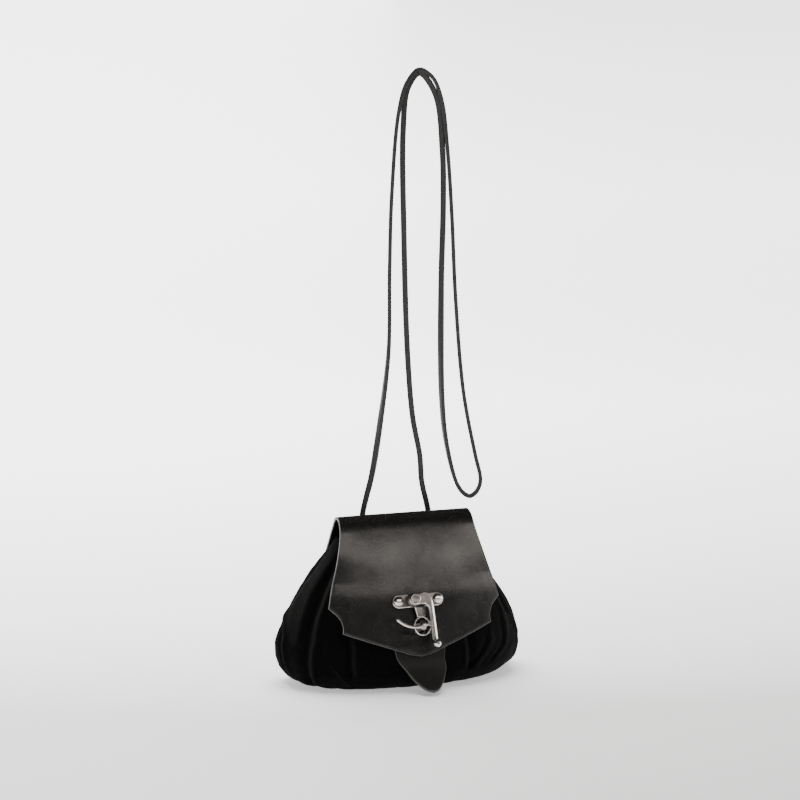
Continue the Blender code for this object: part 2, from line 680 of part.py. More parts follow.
def make_lever(parts, cutters, metal, pivot):
    top = LEVER_LOW + LEVER_THICKNESS
    lever = flat_outline("lever", [lever_outline()], LEVER_LOW, top, parts, pivot, metal)
    stub_middle = math.asin((BAR_LEFT - STUB_LENGTH / 2) / PIN_ARC)
    stub_y = -PIN_ARC * math.cos(stub_middle)
    stub = bmesh.new()
    bmesh.ops.create_cube(stub, size=1.0)
    stub_box = Matrix.Diagonal((STUB_LENGTH + BAR_WIDTH / 2, STUB_HEIGHT, STUB_THICKNESS, 1.0))
    bmesh.ops.transform(stub, verts=stub.verts, matrix=stub_box)
    block = make_object("lever_stub", stub, cutters, parent=pivot, smooth=False)
    block.location = (BAR_LEFT - STUB_LENGTH / 2 + BAR_WIDTH / 4, stub_y, LEVER_MIDDLE)
    pin_route = pin_arc(stub_middle, PIN_TIP_ANGLE, PIN_STEPS)
    pin = tube("lever_pin", pin_route, PIN_RADIUS, 2, cutters, pivot)
    pin.location = (0.0, 0.0, LEVER_MIDDLE)
    ball_place = Vector((BAR_OFFSET + BALL_SHIFT, -BALL_DROP, LEVER_MIDDLE + BALL_RISE))
    ball = bmesh.new()
    bmesh.ops.create_uvsphere(ball, u_segments=20, v_segments=12, radius=BALL_RADIUS)
    ball_item = make_object("lever_ball", ball, cutters, parent=pivot)
    ball_item.location = ball_place
    neck_start = Vector((BAR_OFFSET, -BAR_LENGTH + NECK_RADIUS, LEVER_MIDDLE))
    neck = tube("lever_neck", [neck_start, ball_place], NECK_RADIUS, 2, cutters, pivot)
    for piece in (block, pin, neck, ball_item):
        add_boolean(lever, piece, "UNION")
        hide_cutter(piece)
    bore_form = cylinder(AXLE_RADIUS + GAP, 0.0, 2 * LEVER_LOW)
    bore = make_object("lever_bore_cutter", bore_form, cutters, parent=pivot)
    add_boolean(lever, bore)
    hide_cutter(bore)
    return lever


def make_stud(parts, cutters, metal, seat):
    """Stud on the tongue: flange and neck, and a long bead with a cross-hole for the pin."""
    low = -LEATHER
    flange_top = low + STUD_FLANGE
    profile = [(0.0, LEVER_MIDDLE), (STUD_NECK_RADIUS, LEVER_MIDDLE), (STUD_NECK_RADIUS, flange_top)]
    profile += [(STUD_FLANGE_RADIUS, flange_top), (STUD_FLANGE_RADIUS, low), (0.0, low)]
    stud = turned("stud", profile, parts, metal, seat, (0.0, -STUD_DROP, 0.0))
    form = bmesh.new()
    bmesh.ops.create_uvsphere(form, u_segments=16, v_segments=10, radius=BEAD_RADIUS)
    bmesh.ops.scale(form, vec=(1.0, BEAD_LENGTHEN, 1.0), verts=form.verts)
    bead = make_object("stud_bead", form, cutters, parent=seat)
    bead.location = (0.0, -STUD_DROP, LEVER_MIDDLE)
    add_boolean(stud, bead, "UNION")
    hide_cutter(bead)
    reach = 2 * BEAD_RADIUS / PIN_ARC
    middle = math.asin(-PIVOT_X / PIN_ARC)
    hole_route = pin_arc(middle - reach, middle + reach, 8)
    hole = tube("pin_hole_cutter", hole_route, PIN_RADIUS + GAP, 2, cutters, seat)
    hole.location = (PIVOT_X, 0.0, LEVER_MIDDLE)
    add_boolean(stud, hole)
    hide_cutter(hole)
    return stud


def smooth_route(points):
    """Points on a centripetal Catmull-Rom curve through the route's own points."""
    ends = [points[0] * 2 - points[1]] + points + [points[-1] * 2 - points[-2]]
    smooth = []
    for before, first, second, after in zip(ends, ends[1:], ends[2:], ends[3:]):
        knots = [0.0]
        for one, other in ((before, first), (first, second), (second, after)):
            knots.append(knots[-1] + math.sqrt((other - one).length))
        steps = max(2, round((second - first).length / STRAP_STEP))
        for step in range(steps):
            t = knots[1] + (knots[2] - knots[1]) * step / steps
            smooth.append(catmull_point((before, first, second, after), knots, t))
    return smooth + [points[-1]]


def catmull_point(four, knots, t):
    """One point of the curve through four points at given knots."""
    level = [point.copy() for point in four]
    for order in (1, 2, 3):
        if order == 3:
            low, high = knots[1], knots[2]
            return level[0].lerp(level[1], (t - low) / (high - low))
        merged = []
        for index in range(len(level) - 1):
            low, high = knots[index], knots[index + order]
            merged.append(level[index].lerp(level[index + 1], (t - low) / (high - low)))
        level = merged


def make_strap(parts, leather, base):
    route = [Vector(point) / 1000.0 for point in STRAP_ROUTE]
    data = bpy.data.curves.new("strap", "CURVE")
    data.dimensions = "3D"
    data.bevel_depth = STRAP_DIAMETER / 2
    data.bevel_resolution = 2
    data.use_fill_caps = True
    data.materials.append(leather)
    spline = data.splines.new("POLY")
    points = smooth_route(route)
    spline.points.add(len(points) - 1)
    for point, place in zip(spline.points, points):
        point.co = (*place, 1.0)
    strap = bpy.data.objects.new("strap", data)
    parts.objects.link(strap)
    depth = LEATHER + GAP + KNOT_RADIUS
    for side, name in ((-1, "strap_knot_left"), (1, "strap_knot_right")):
        knot = bmesh.new()
        bmesh.ops.create_uvsphere(knot, u_segments=12, v_segments=8, radius=KNOT_RADIUS)
        item = make_object(name, knot, parts, leather, base)
        point = rear_point(STRAP_HOLE_DROP, -depth)
        item.location = (side * STRAP_HOLE_SPAN, point.x, point.y)
    return strap


def main():
    clear_scene()
    parts = new_collection("belt_bag")
    cutters = new_collection("cutters")
    leather = new_material("black leather", (0.03, 0.028, 0.027), 0.5, 0.0)
    lace = new_material("strap leather", (0.035, 0.034, 0.03), 0.6, 0.0)
    suede = new_material("black suede", (0.006, 0.006, 0.007), 0.95, 0.0)
    silver = new_material("antique silver", (0.62, 0.58, 0.53), 0.3, 1.0)
    base = make_empty("bag_base", parts, (-HANG_OFFSET_X, HANG_OFFSET_Y, -HANG_HEIGHT))
    centre = face_point(PLATE_DROP, 0.0)
    seat_turn = (math.pi / 2 - FACE_TILT, 0.0, 0.0)
    seat = make_empty("clasp_seat", parts, (0.0, centre.x, centre.y), seat_turn, base)
    pivot = make_empty("lever_pivot", parts, (PIVOT_X, 0.0, 0.0), parent=seat)
    make_pouch(parts, suede, base)
    make_flap(parts, cutters, leather, base, seat)
    make_tongue(parts, leather, base)
    make_clasp_plate(parts, cutters, silver, seat)
    make_rivets(parts, silver, seat)
    make_pivot(parts, silver, seat)
    make_stud(parts, cutters, silver, seat)
    make_lever(parts, cutters, silver, pivot)
    make_strap(parts, lace, base)


main()
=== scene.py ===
# Looks of the belt bag: pleated suede pouch, leather flap and tongue, silver lever clasp and lace strap.
# Metres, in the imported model's frame: +Z up, the bag's front towards -Y, the origin at the point it hangs from.
import math

import bmesh
import bpy
import numpy as np
from mathutils import Matrix, Vector, noise
from mathutils.geometry import delaunay_2d_cdt


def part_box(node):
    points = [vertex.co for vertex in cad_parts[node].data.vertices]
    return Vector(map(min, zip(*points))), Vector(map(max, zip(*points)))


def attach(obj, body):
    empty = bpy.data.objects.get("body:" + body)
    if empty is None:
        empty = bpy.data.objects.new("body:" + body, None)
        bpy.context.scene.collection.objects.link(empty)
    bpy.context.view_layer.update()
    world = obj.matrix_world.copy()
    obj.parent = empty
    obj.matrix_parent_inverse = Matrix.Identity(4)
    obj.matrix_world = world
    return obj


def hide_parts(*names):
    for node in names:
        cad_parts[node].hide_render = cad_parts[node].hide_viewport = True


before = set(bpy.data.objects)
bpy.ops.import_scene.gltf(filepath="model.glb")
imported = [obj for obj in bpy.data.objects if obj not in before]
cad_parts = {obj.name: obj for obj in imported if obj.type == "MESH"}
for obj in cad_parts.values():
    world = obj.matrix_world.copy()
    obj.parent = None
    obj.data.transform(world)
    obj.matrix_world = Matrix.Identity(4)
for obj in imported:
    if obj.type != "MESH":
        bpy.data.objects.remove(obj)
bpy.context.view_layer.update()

# Where the bag's own zero lies: middle of its width, widest line, surface that it touches
BAG = Vector((-0.0213, 0.006, -0.593))
GAP = 0.0003

# Flap
LEATHER = 0.0028
CREST_HEIGHT = 0.166
ROLL_RADIUS = 0.018
ROLL_CENTRE = Vector((-0.018, CREST_HEIGHT - ROLL_RADIUS))
FACE_TILT = math.radians(20.0)
FACE_LENGTH = 0.1264
FACE_BEND = math.radians(4.5)
FACE_BEND_AT = 0.060
FACE_BEND_RADIUS = 0.150
REAR_TILT = math.radians(37.0)
REAR_SLOPE = 0.038
REAR_BEND = 0.045
REAR_DROP = 0.024
REAR_LENGTH = REAR_SLOPE + REAR_TILT * REAR_BEND + REAR_DROP
ROLL_LENGTH = (math.pi - FACE_TILT - REAR_TILT) * ROLL_RADIUS
SKIN_LENGTH = REAR_LENGTH + ROLL_LENGTH + FACE_LENGTH
FLAP_HALF_WIDTH = 0.0885
FLAT_HALF_WIDTH = 0.031
FLAP_BOW = 0.0075
# The roll runs into the face this much further in, eased out over these lengths of face and roll
EASE_DEPTH, EASE_DOWN, EASE_UP = 0.0020, 0.034, 0.022
PLATE_DROP = 0.0718
# Soft mounds of the flap over what lies behind it: across, down the face, radius, height
MOUNDS = ((-0.013, 0.1130, 0.014, 0.0008), (0.015, 0.1090, 0.013, 0.0007), (0.000, 0.0790, 0.012, -0.0002))
STRAP_HOLE_DROP = 0.0060
STRAP_HOLE_SPAN = 0.0352

# Clasp, in the plane of the flap's face
SHANK_RADIUS = 0.0014
RIVET_SPAN = 0.0202
PIVOT_X = -0.0063
PIN_ARC = 0.0271
STUD_DROP = math.sqrt(PIN_ARC ** 2 - PIVOT_X ** 2)
STUD_X = -0.0011
LEVER_LOW = 0.0090
LEVER_THICKNESS = 0.0030
LEVER_MIDDLE = LEVER_LOW + LEVER_THICKNESS / 2

# Pouch
POUCH_HALF_WIDTH = 0.1270
POUCH_FRONT = 0.0720
POUCH_BACK = 0.0340
POUCH_HEIGHT = 0.142


class Value:
    """A number in a finish's nodes. Sums written with it add their Math nodes."""

    def __init__(self, finish, socket):
        self.finish = finish
        self.socket = socket

    def sum(self, operation, *numbers, clamp=False):
        settings = {"operation": operation, "use_clamp": clamp}
        return self.finish.node("Math", settings, dict(enumerate(numbers)))

    def __add__(self, other):
        return self.sum("ADD", self, other)

    def __radd__(self, other):
        return self.sum("ADD", other, self)

    def __sub__(self, other):
        return self.sum("SUBTRACT", self, other)

    def __rsub__(self, other):
        return self.sum("SUBTRACT", other, self)

    def __mul__(self, other):
        return self.sum("MULTIPLY", self, other)

    def __rmul__(self, other):
        return self.sum("MULTIPLY", other, self)

    def __truediv__(self, other):
        return self.sum("DIVIDE", self, other)

    def limited(self):
        return self.sum("ADD", self, 0.0, clamp=True)

    def below(self, edge, softness):
        """1 where this is well below an edge, 0 well above, and a smooth step between."""
        ends = {"From Min": edge - softness, "From Max": edge + softness, "To Min": 1.0, "To Max": 0.0}
        return self.finish.node("MapRange", {"interpolation_type": "SMOOTHSTEP"}, {"Value": self, **ends})


class Finish:
    """A material, built node by node round its Principled shader."""

    def __init__(self, name, colour, roughness, metallic=0.0, **others):
        self.material = bpy.data.materials.new(name)
        self.material.use_nodes = True
        self.tree = self.material.node_tree
        self.shader = self.tree.nodes["Principled BSDF"]
        self.set("Base Color", colour if isinstance(colour, Value) else (*colour, 1.0))
        self.set("Roughness", roughness)
        self.set("Metallic", metallic)
        for name, value in others.items():
            self.set(name.replace("_", " "), value)

    def node(self, kind, settings=None, values=None, output=0):
        made = self.tree.nodes.new("ShaderNode" + kind)
        for key, value in (settings or {}).items():
            if key == "stops":
                ramp = made.color_ramp.elements
                while len(ramp) < len(value):
                    ramp.new(0.5)
                for stop, (place, shade) in zip(ramp, value):
                    stop.position = place
                    stop.color = (shade, shade, shade, 1.0)
            else:
                setattr(made, key, value)
        for key, value in (values or {}).items():
            if isinstance(value, Value):
                self.tree.links.new(value.socket, made.inputs[key])
            else:
                made.inputs[key].default_value = value
        return Value(self, made.outputs[output])

    def set(self, socket, value):
        if isinstance(value, Value):
            self.tree.links.new(value.socket, self.shader.inputs[socket])
        else:
            self.shader.inputs[socket].default_value = value

    def place(self, scale=(1.0, 1.0, 1.0), turn=(0.0, 0.0, 0.0)):
        here = self.node("TexCoord", output=3)
        return self.node("Mapping", None, {"Vector": here, "Scale": scale, "Rotation": turn})

    def noise(self, scale, detail=3.0, roughness=0.5, place=None):
        return self.node("TexNoise", None, {
            "Vector": place or self.place(), "Scale": scale, "Detail": detail, "Roughness": roughness})

    def cells(self, scale):
        return self.node("TexVoronoi", None, {"Vector": self.place(), "Scale": scale})

    def attribute(self, name):
        return self.node("Attribute", {"attribute_name": name}, output=2)

    def blend(self, share, first, second):
        values = {0: share}
        for key, colour in ((6, first), (7, second)):
            values[key] = colour if isinstance(colour, Value) else (*colour, 1.0)
        return self.node("Mix", {"data_type": "RGBA"}, values, output=2)

    def bump(self, height, strength, distance=0.001, below=None):
        values = {"Height": height, "Strength": strength, "Distance": distance}
        if below:
            values["Normal"] = below
        return self.node("Bump", None, values)


def black_leather(name, gloss, roughness, shade, polish):
    """Rubbed black leather: fine grain, cloudy wear, cut edges paler partly in their own colour and partly as a
    painted highlight, and a painted highlight on the band along the rim's crease.
    Gloss is its plain shine, shade its paleness, and polish the shine of its rubbed patches."""
    finish = Finish(name, (0.012, 0.011, 0.0105), 0.42, Specular_IOR_Level=gloss, Coat_Roughness=0.26)
    patch = finish.noise(34.0, 3.0, 0.55)
    cloud = finish.noise(75.0, 4.0, 0.62)
    mottle = finish.noise(420.0, 3.0, 0.6)
    grain = finish.cells(1150.0)
    fine = finish.noise(2600.0, 2.0, 0.5)
    rim = finish.attribute("rim")
    cut = rim.below(0.00042, 0.00018)
    lip_highlight = rim.below(0.0013, 0.0007)
    dark, pale = (0.0022, 0.0020, 0.0019), (0.0060, 0.0055, 0.0050)
    base = finish.blend(mottle, *(tuple(part * shade for part in tone) for tone in (dark, pale)))
    # Painted highlight on the rounded band between the cut edge and the crease
    base = finish.blend(lip_highlight * 0.25, base, (0.012, 0.0115, 0.011))
    # Pale cut edges: partly the raw edge's own colour, partly a painted highlight
    base = finish.blend(cut * 0.85, base, (0.080, 0.078, 0.075))
    finish.set("Base Color", base)
    finish.set("Roughness", roughness + cloud * 0.15 + mottle * 0.09 + cut * 0.25)
    finish.set("Coat Weight", (patch * 1.5 + mottle * 0.9 - 0.80).limited() * (1 - cut) * polish)
    surface = finish.bump(finish.noise(60.0, 1.0, 0.5), 0.20, 0.0012)
    surface = finish.bump(mottle, 0.12, 0.0004, surface)
    surface = finish.bump(grain, 0.10, 0.00016, surface)
    surface = finish.bump(fine, 0.08, 0.0001, surface)
    finish.set("Normal", surface)
    return finish.material


def black_suede():
    """Matt black suede: a short nap in soft patches, with a painted highlight along the ridges of its pleats."""
    finish = Finish("black suede", (0.004, 0.004, 0.0042), 0.95, Specular_IOR_Level=0.06)
    patches = finish.noise(60.0, 4.0, 0.6)
    nap = finish.noise(1400.0, 3.0, 0.65)
    ridge = finish.attribute("ridge")
    base = finish.blend(patches, (0.0007, 0.0007, 0.00074), (0.0018, 0.00175, 0.00175))
    # Painted highlight along the pleats' ridges
    base = finish.blend(ridge * nap * 1.2, base, (0.010, 0.0097, 0.0094))
    finish.set("Base Color", base)
    finish.set("Roughness", 0.88 + nap * 0.12)
    surface = finish.bump(nap, 0.5, 0.0004)
    surface = finish.bump(patches, 0.25, 0.0010, surface)
    finish.set("Normal", surface)
    finish.set("Sheen Weight", 0.008)
    finish.set("Sheen Roughness", 0.6)
    return finish.material


def lace_leather():
    """Dark grey-olive lace leather with fine lengthwise scuffs."""
    finish = Finish("lace leather", (0.02, 0.02, 0.018), 0.55, Specular_IOR_Level=0.3)
    scuff = finish.noise(900.0, 3.0, 0.6, finish.place(scale=(1.0, 1.0, 0.12)))
    cloud = finish.noise(45.0, 3.0, 0.5)
    finish.set("Base Color", finish.blend(scuff, (0.009, 0.009, 0.0085), (0.030, 0.030, 0.028)))
    finish.set("Roughness", 0.48 + cloud * 0.20)
    finish.set("Normal", finish.bump(scuff, 0.35, 0.0003))
    return finish.material


def antique_silver():
    """Worn warm silver: oxidised flats with mottles and scratches; edges and bevels rubbed bright."""
    finish = Finish("antique silver", (0.7, 0.66, 0.61), 0.3, 1.0)
    mottle = finish.noise(1100.0, 4.0, 0.65)
    cloud = finish.noise(220.0, 3.0, 0.5)
    scratch = finish.noise(700.0, 2.0, 0.5, finish.place(scale=(1.0, 0.15, 5.0), turn=(0.3, 0.5, 0.2)))
    worn = finish.attribute("worn")
    flat = (mottle * 1.1 + cloud * 0.9 - 0.55).limited()
    flat = finish.blend(flat, (0.080, 0.073, 0.068), (0.31, 0.287, 0.272))
    rubbed = (mottle * 0.8 + cloud - 0.45).limited()
    rubbed = finish.blend(rubbed, (0.54, 0.51, 0.49), (0.93, 0.89, 0.86))
    finish.set("Base Color", finish.blend((worn + mottle * 0.3 - 0.15).limited(), flat, rubbed))
    finish.set("Roughness", 0.31 + mottle * 0.13 - worn * 0.15)
    finish.set("Normal", finish.bump(scratch + mottle * 0.7, 0.16, 0.0001))
    return finish.material


# How far a bevel's face looks upwards, as a share
BEVEL_FROM, BEVEL_TO = 0.22, 0.93


def rub_edges(mesh, place, wear):
    """Gives each face its wear, from its middle in the piece's own frame and whether it is on a bevel, 1 or 0."""
    back = place.inverted()
    turn = back.to_3x3()
    layer = mesh.attributes.new("worn", "FLOAT", "FACE")
    for face in mesh.polygons:
        bevel = float(BEVEL_FROM < (turn @ face.normal).z < BEVEL_TO)
        layer.data[face.index].value = wear(back @ face.center, bevel)
    return mesh


def smooth_way(points, step):
    """Evenly close points on a centripetal Catmull-Rom curve through given points."""
    ends = [points[0] * 2 - points[1]] + points + [points[-1] * 2 - points[-2]]
    way = []
    for four in zip(ends, ends[1:], ends[2:], ends[3:]):
        knots = [0.0]
        for one, other in zip(four, four[1:]):
            knots.append(knots[-1] + math.sqrt((other - one).length))
        count = max(2, math.ceil((four[2] - four[1]).length / step))
        for part in range(count):
            t = knots[1] + (knots[2] - knots[1]) * part / count
            level = list(four)
            for order in (1, 2):
                level = [a.lerp(b, (t - knots[i]) / (knots[i + order] - knots[i]))
                         for i, (a, b) in enumerate(zip(level, level[1:]))]
            way.append(level[0].lerp(level[1], (t - knots[1]) / (knots[2] - knots[1])))
    return way + [points[-1]]


def smooth_step(value):
    value = np.clip(value, 0.0, 1.0)
    return value * value * (3.0 - 2.0 * value)


def added(name, data):
    """A new object in the scene."""
    item = bpy.data.objects.new(name, data)
    bpy.context.scene.collection.objects.link(item)
    return item


def plain_mesh(item):
    """The mesh that an object's modifiers make; the object is removed."""
    bpy.context.view_layer.update()
    mesh = bpy.data.meshes.new_from_object(item.evaluated_get(bpy.context.evaluated_depsgraph_get()))
    bpy.data.objects.remove(item)
    return mesh


def finished(name, mesh, material, body, replaced, smooth):
    """A finished piece: its name, its mesh, its material, the body that it rides on, the solids that it stands
    for, and the angle in degrees up to which its faces run smoothly into each other."""
    mesh.shade_smooth()
    mesh.set_sharp_from_angle(angle=math.radians(smooth))
    mesh.materials.clear()
    mesh.materials.append(material)
    mesh.name = name
    item = added(name, mesh)
    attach(item, body)
    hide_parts(*replaced)
    return item


def mesh_of(form, place=None):
    """A bmesh as a mesh, moved to its place, with its faces outwards."""
    if place:
        bmesh.ops.transform(form, matrix=place, verts=form.verts)
    bmesh.ops.recalc_face_normals(form, faces=form.faces)
    mesh = bpy.data.meshes.new("piece")
    form.to_mesh(mesh)
    form.free()
    return mesh


FOCAL_PIXELS, PICTURE_PIXELS = 2690, 800


def place_camera():
    """Looks down by 9 degrees, from the bag's left by 20 degrees."""
    data = bpy.data.cameras.new("camera")
    data.sensor_width = 36.0
    data.lens = data.sensor_width * FOCAL_PIXELS / PICTURE_PIXELS
    data.clip_end = 400.0
    camera = added("camera", data)
    camera.location = BAG + Vector((-0.8909, -2.4579, 0.6895))
    camera.rotation_euler = (math.radians(81.0), 0.0, math.radians(-20.0))
    bpy.context.scene.camera = camera


place_camera()

# Lace strap: the solid's route with a rounder lowest loop, millimetres
STRAP_ROUTE = (
    (-56.5, 3.8, -440.7), (-56.5, 7.6, -437.8), (-55.2, 11.2, -431.0), (-52.0, 10.5, -416.0),
    (-46.0, 9.6, -392.2), (-38.5, 8.2, -345.5), (-29.4, 6.4, -268.7), (-28.9, 4.6, -190.0),
    (-27.7, 1.5, -114.7), (-21.3, -0.8, -34.9), (-13.4, -1.6, -7.4), (-0.9, -1.7, 5.6),
    (13.2, -1.7, -2.3), (22.8, -1.7, -24.6), (28.9, -1.8, -73.0), (33.1, -2.5, -134.3),
    (37.0, -4.0, -220.4), (45.0, -5.5, -311.9), (57.7, -6.0, -375.8), (63.6, -5.0, -398.8),
    (62.9, -3.9, -407.4), (60.2, -2.6, -413.2), (54.4, -1.0, -417.6), (47.4, 0.5, -414.0),
    (41.0, 2.0, -404.1), (30.3, 3.0, -363.4), (25.3, 3.0, -317.2),
    (24.3, 2.8, -205.3), (26.0, 2.3, -128.0), (24.9, 2.0, -72.8), (17.5, 1.7, -18.9),
    (0.8, 1.7, 2.0), (-11.0, 1.7, -11.9), (-15.7, 2.2, -51.5), (-14.1, 4.4, -156.3),
    (-9.6, 6.8, -269.6), (-3.6, 8.2, -335.1), (4.3, 9.0, -374.8), (6.7, 9.8, -401.3),
    (12.4, 10.9, -424.0), (13.9, 11.2, -431.0), (13.9, 7.6, -437.8), (13.9, 3.8, -440.7),
)
LACE_BREADTH, LACE_THICKNESS, LACE_CORNER = 0.0055, 0.0039, 0.0006
KNOTTED_LACE = 0.0026
# The lace's turn along its length: (share of the length, degrees), 0 where its broad side faces the front
LACE_TURNS = (
    (0.00, 0.0), (0.03, 15.0), (0.07, 65.0), (0.11, 90.0), (0.51, 90.0), (0.57, 55.0), (0.63, 12.0),
    (1.00, 0.0),
)


class Tree:
    """A group of geometry nodes with named inputs and one output."""

    def __init__(self, name, inputs, output):
        self.group = bpy.data.node_groups.new(name, "GeometryNodeTree")
        for socket, kind in inputs.items():
            self.group.interface.new_socket(socket, in_out="INPUT", socket_type="NodeSocket" + kind)
        self.group.interface.new_socket(output, in_out="OUTPUT", socket_type="NodeSocketGeometry")
        self.start = self.group.nodes.new("NodeGroupInput")
        self.end = self.group.nodes.new("NodeGroupOutput")

    def node(self, kind, **values):
        made = self.group.nodes.new("GeometryNode" + kind)
        for socket, value in values.items():
            made.inputs[socket.replace("_", " ")].default_value = value
        return made

    def join(self, *links):
        """Links as (node, its output, next node, its input)."""
        for source, output, target, socket in links:
            self.group.links.new(source.outputs[output], target.inputs[socket])


def lace_tree(material):
    """Nodes that draw a flat lace along a curve, turned as the curve's points say."""
    sizes = {"Breadth": "Float", "Thickness": "Float", "Corner": "Float"}
    tree = Tree("flat lace", {"Route": "Geometry", **sizes}, "Lace")
    section = tree.node("CurvePrimitiveQuadrilateral")
    corner = tree.node("FilletCurve")
    corner.mode = "POLY"
    corner.inputs["Count"].default_value = 3
    draw = tree.node("CurveToMesh", Fill_Caps=True)
    whole = tree.node("RealizeInstances")
    paint = tree.node("SetMaterial", Material=material)
    tree.join(
        (tree.start, "Breadth", section, "Width"), (tree.start, "Thickness", section, "Height"),
        (section, "Curve", corner, "Curve"), (tree.start, "Corner", corner, "Radius"),
        (tree.start, "Route", draw, "Curve"), (corner, "Curve", draw, "Profile Curve"),
        (draw, "Mesh", whole, "Geometry"), (whole, "Geometry", paint, "Geometry"),
        (paint, "Geometry", tree.end, "Lace"))
    return tree.group


def lace_tilts(way):
    """Each point's tilt from the curve's own untwisted frame that turns the lace as LACE_TURNS says.
    A turn of 0 faces the front, seen from the bag's left by 20 degrees."""
    runs = [(b - a).normalized() for a, b in zip(way, way[1:])]
    tangents = [runs[0]] + [(a + b).normalized() for a, b in zip(runs, runs[1:])] + [runs[-1]]
    normal = Vector((tangents[0].y, -tangents[0].x, 0.0)).normalized()
    inwards = Vector((0.342, 0.940, 0.0))
    along = np.cumsum([0.0] + [(b - a).length for a, b in zip(way, way[1:])])
    turns = np.radians(np.interp(along / along[-1], *zip(*LACE_TURNS)))
    tilts = []
    for number, (tangent, turn) in enumerate(zip(tangents, turns)):
        if number:
            normal = tangents[number - 1].rotation_difference(tangent) @ normal
        deep = (inwards - tangent * inwards.dot(tangent)).normalized()
        broad = tangent.cross(deep) * math.cos(turn) + deep * math.sin(turn)
        tilts.append(math.atan2(normal.cross(broad).dot(tangent), normal.dot(broad)))
    return np.unwrap(tilts, period=math.pi)


def drawn_by_nodes(item, tree, **sizes):
    """The plain mesh that a tree of nodes makes of an object, which is then removed."""
    modifier = item.modifiers.new("nodes", "NODES")
    modifier.node_group = tree
    for socket in tree.interface.items_tree:
        if socket.in_out == "INPUT" and socket.name in sizes:
            modifier[socket.identifier] = sizes[socket.name]
    return plain_mesh(item)


def route_curve(points, tilts=None):
    data = bpy.data.curves.new("route", "CURVE")
    data.dimensions = "3D"
    data.twist_mode = "MINIMUM"
    spline = data.splines.new("POLY")
    spline.points.add(len(points) - 1)
    for number, (point, place) in enumerate(zip(spline.points, points)):
        point.co = (*place, 1.0)
        point.tilt = 0.0 if tilts is None else tilts[number]
    return added("route", data)


def stopper_knot(centre, leather):
    """The knot that holds a lace's end inside the flap's roll: the lace wound round itself."""
    wound = []
    for step in range(97):
        turn = 2 * math.pi * step / 96
        spread = 0.00165 + 0.00075 * math.cos(3 * turn)
        wound.append(centre + Vector((spread * math.cos(2 * turn), spread * math.sin(2 * turn),
                                      0.0010 * math.sin(3 * turn))))
    sizes = {"Breadth": KNOTTED_LACE, "Thickness": KNOTTED_LACE, "Corner": LACE_CORNER}
    return drawn_by_nodes(route_curve(wound), lace_tree(leather), **sizes)


def make_strap():
    leather = lace_leather()
    way = smooth_way([Vector(point) / 1000.0 for point in STRAP_ROUTE], 0.004)
    mesh = drawn_by_nodes(route_curve(way, lace_tilts(way)), lace_tree(leather), Breadth=LACE_BREADTH,
                          Thickness=LACE_THICKNESS, Corner=LACE_CORNER)
    strap = finished("lace_strap", mesh, leather, "bag", ("strap",), 30.0)
    for side in ("left", "right"):
        low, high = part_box("strap_knot_" + side)
        knot = stopper_knot((low + high) / 2, leather)
        replaced = ("strap_knot_" + side,)
        finished("lace_knot_" + side, knot, leather, "bag", replaced, 50.0)
    length = sum((b - a).length for a, b in zip(way, way[1:]))
    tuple(way[0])


make_strap()


# Flap and tongue: cut from a flat pattern, then bent to their place
def face_plane(tilt):
    """Directions (y, z) out of a face and down along it."""
    return Vector((-math.cos(tilt), math.sin(tilt))), Vector((-math.sin(tilt), -math.cos(tilt)))


def face_point(along, level):
    """Point (y, z) on the flap's face, which bends in a little above the clasp plate, and the direction out."""
    out, down = face_plane(FACE_TILT)
    start = ROLL_CENTRE + out * ROLL_RADIUS
    if along <= FACE_BEND_AT:
        return start + down * along + out * level, out
    turn = min((along - FACE_BEND_AT) / FACE_BEND_RADIUS, FACE_BEND)
    centre = start + down * FACE_BEND_AT - out * FACE_BEND_RADIUS
    out, down = face_plane(FACE_TILT - turn)
    rest = along - FACE_BEND_AT - turn * FACE_BEND_RADIUS
    return centre + out * (FACE_BEND_RADIUS + level) + down * rest, out


def skin_point(distance):
    """Point (y, z) on the flap's outer skin and the direction out of it, from the back panel's lower edge."""
    if distance >= REAR_LENGTH + ROLL_LENGTH:
        return face_point(distance - REAR_LENGTH - ROLL_LENGTH, 0.0)
    if distance >= REAR_LENGTH:
        angle = REAR_TILT + (distance - REAR_LENGTH) / ROLL_RADIUS
        out = Vector((math.cos(angle), math.sin(angle)))
        return ROLL_CENTRE + out * ROLL_RADIUS, out
    slope_out = Vector((math.cos(REAR_TILT), math.sin(REAR_TILT)))
    slope_down = Vector((math.sin(REAR_TILT), -math.cos(REAR_TILT)))
    start = ROLL_CENTRE + slope_out * ROLL_RADIUS
    along = REAR_LENGTH - distance
    if along <= REAR_SLOPE:
        return start + slope_down * along, slope_out
    centre = start + slope_down * REAR_SLOPE - slope_out * REAR_BEND
    angle = REAR_TILT - min((along - REAR_SLOPE) / REAR_BEND, REAR_TILT)
    out = Vector((math.cos(angle), math.sin(angle)))
    rest = max(0.0, along - REAR_SLOPE - REAR_TILT * REAR_BEND)
    return centre + out * REAR_BEND - Vector((0.0, rest)), out


def eased_roll(face):
    """How far the skin lies inside the plain roll and face, near the line where one runs into the other."""
    if face >= 0.0:
        return EASE_DEPTH * max(0.0, 1.0 - face / EASE_DOWN) ** 2
    share = max(0.0, 1.0 + face / EASE_UP)
    slope = 2 * EASE_DEPTH / EASE_DOWN * EASE_UP
    return share ** 2 * (EASE_DEPTH * (3.0 - 2.0 * share) + slope * (1.0 - share))


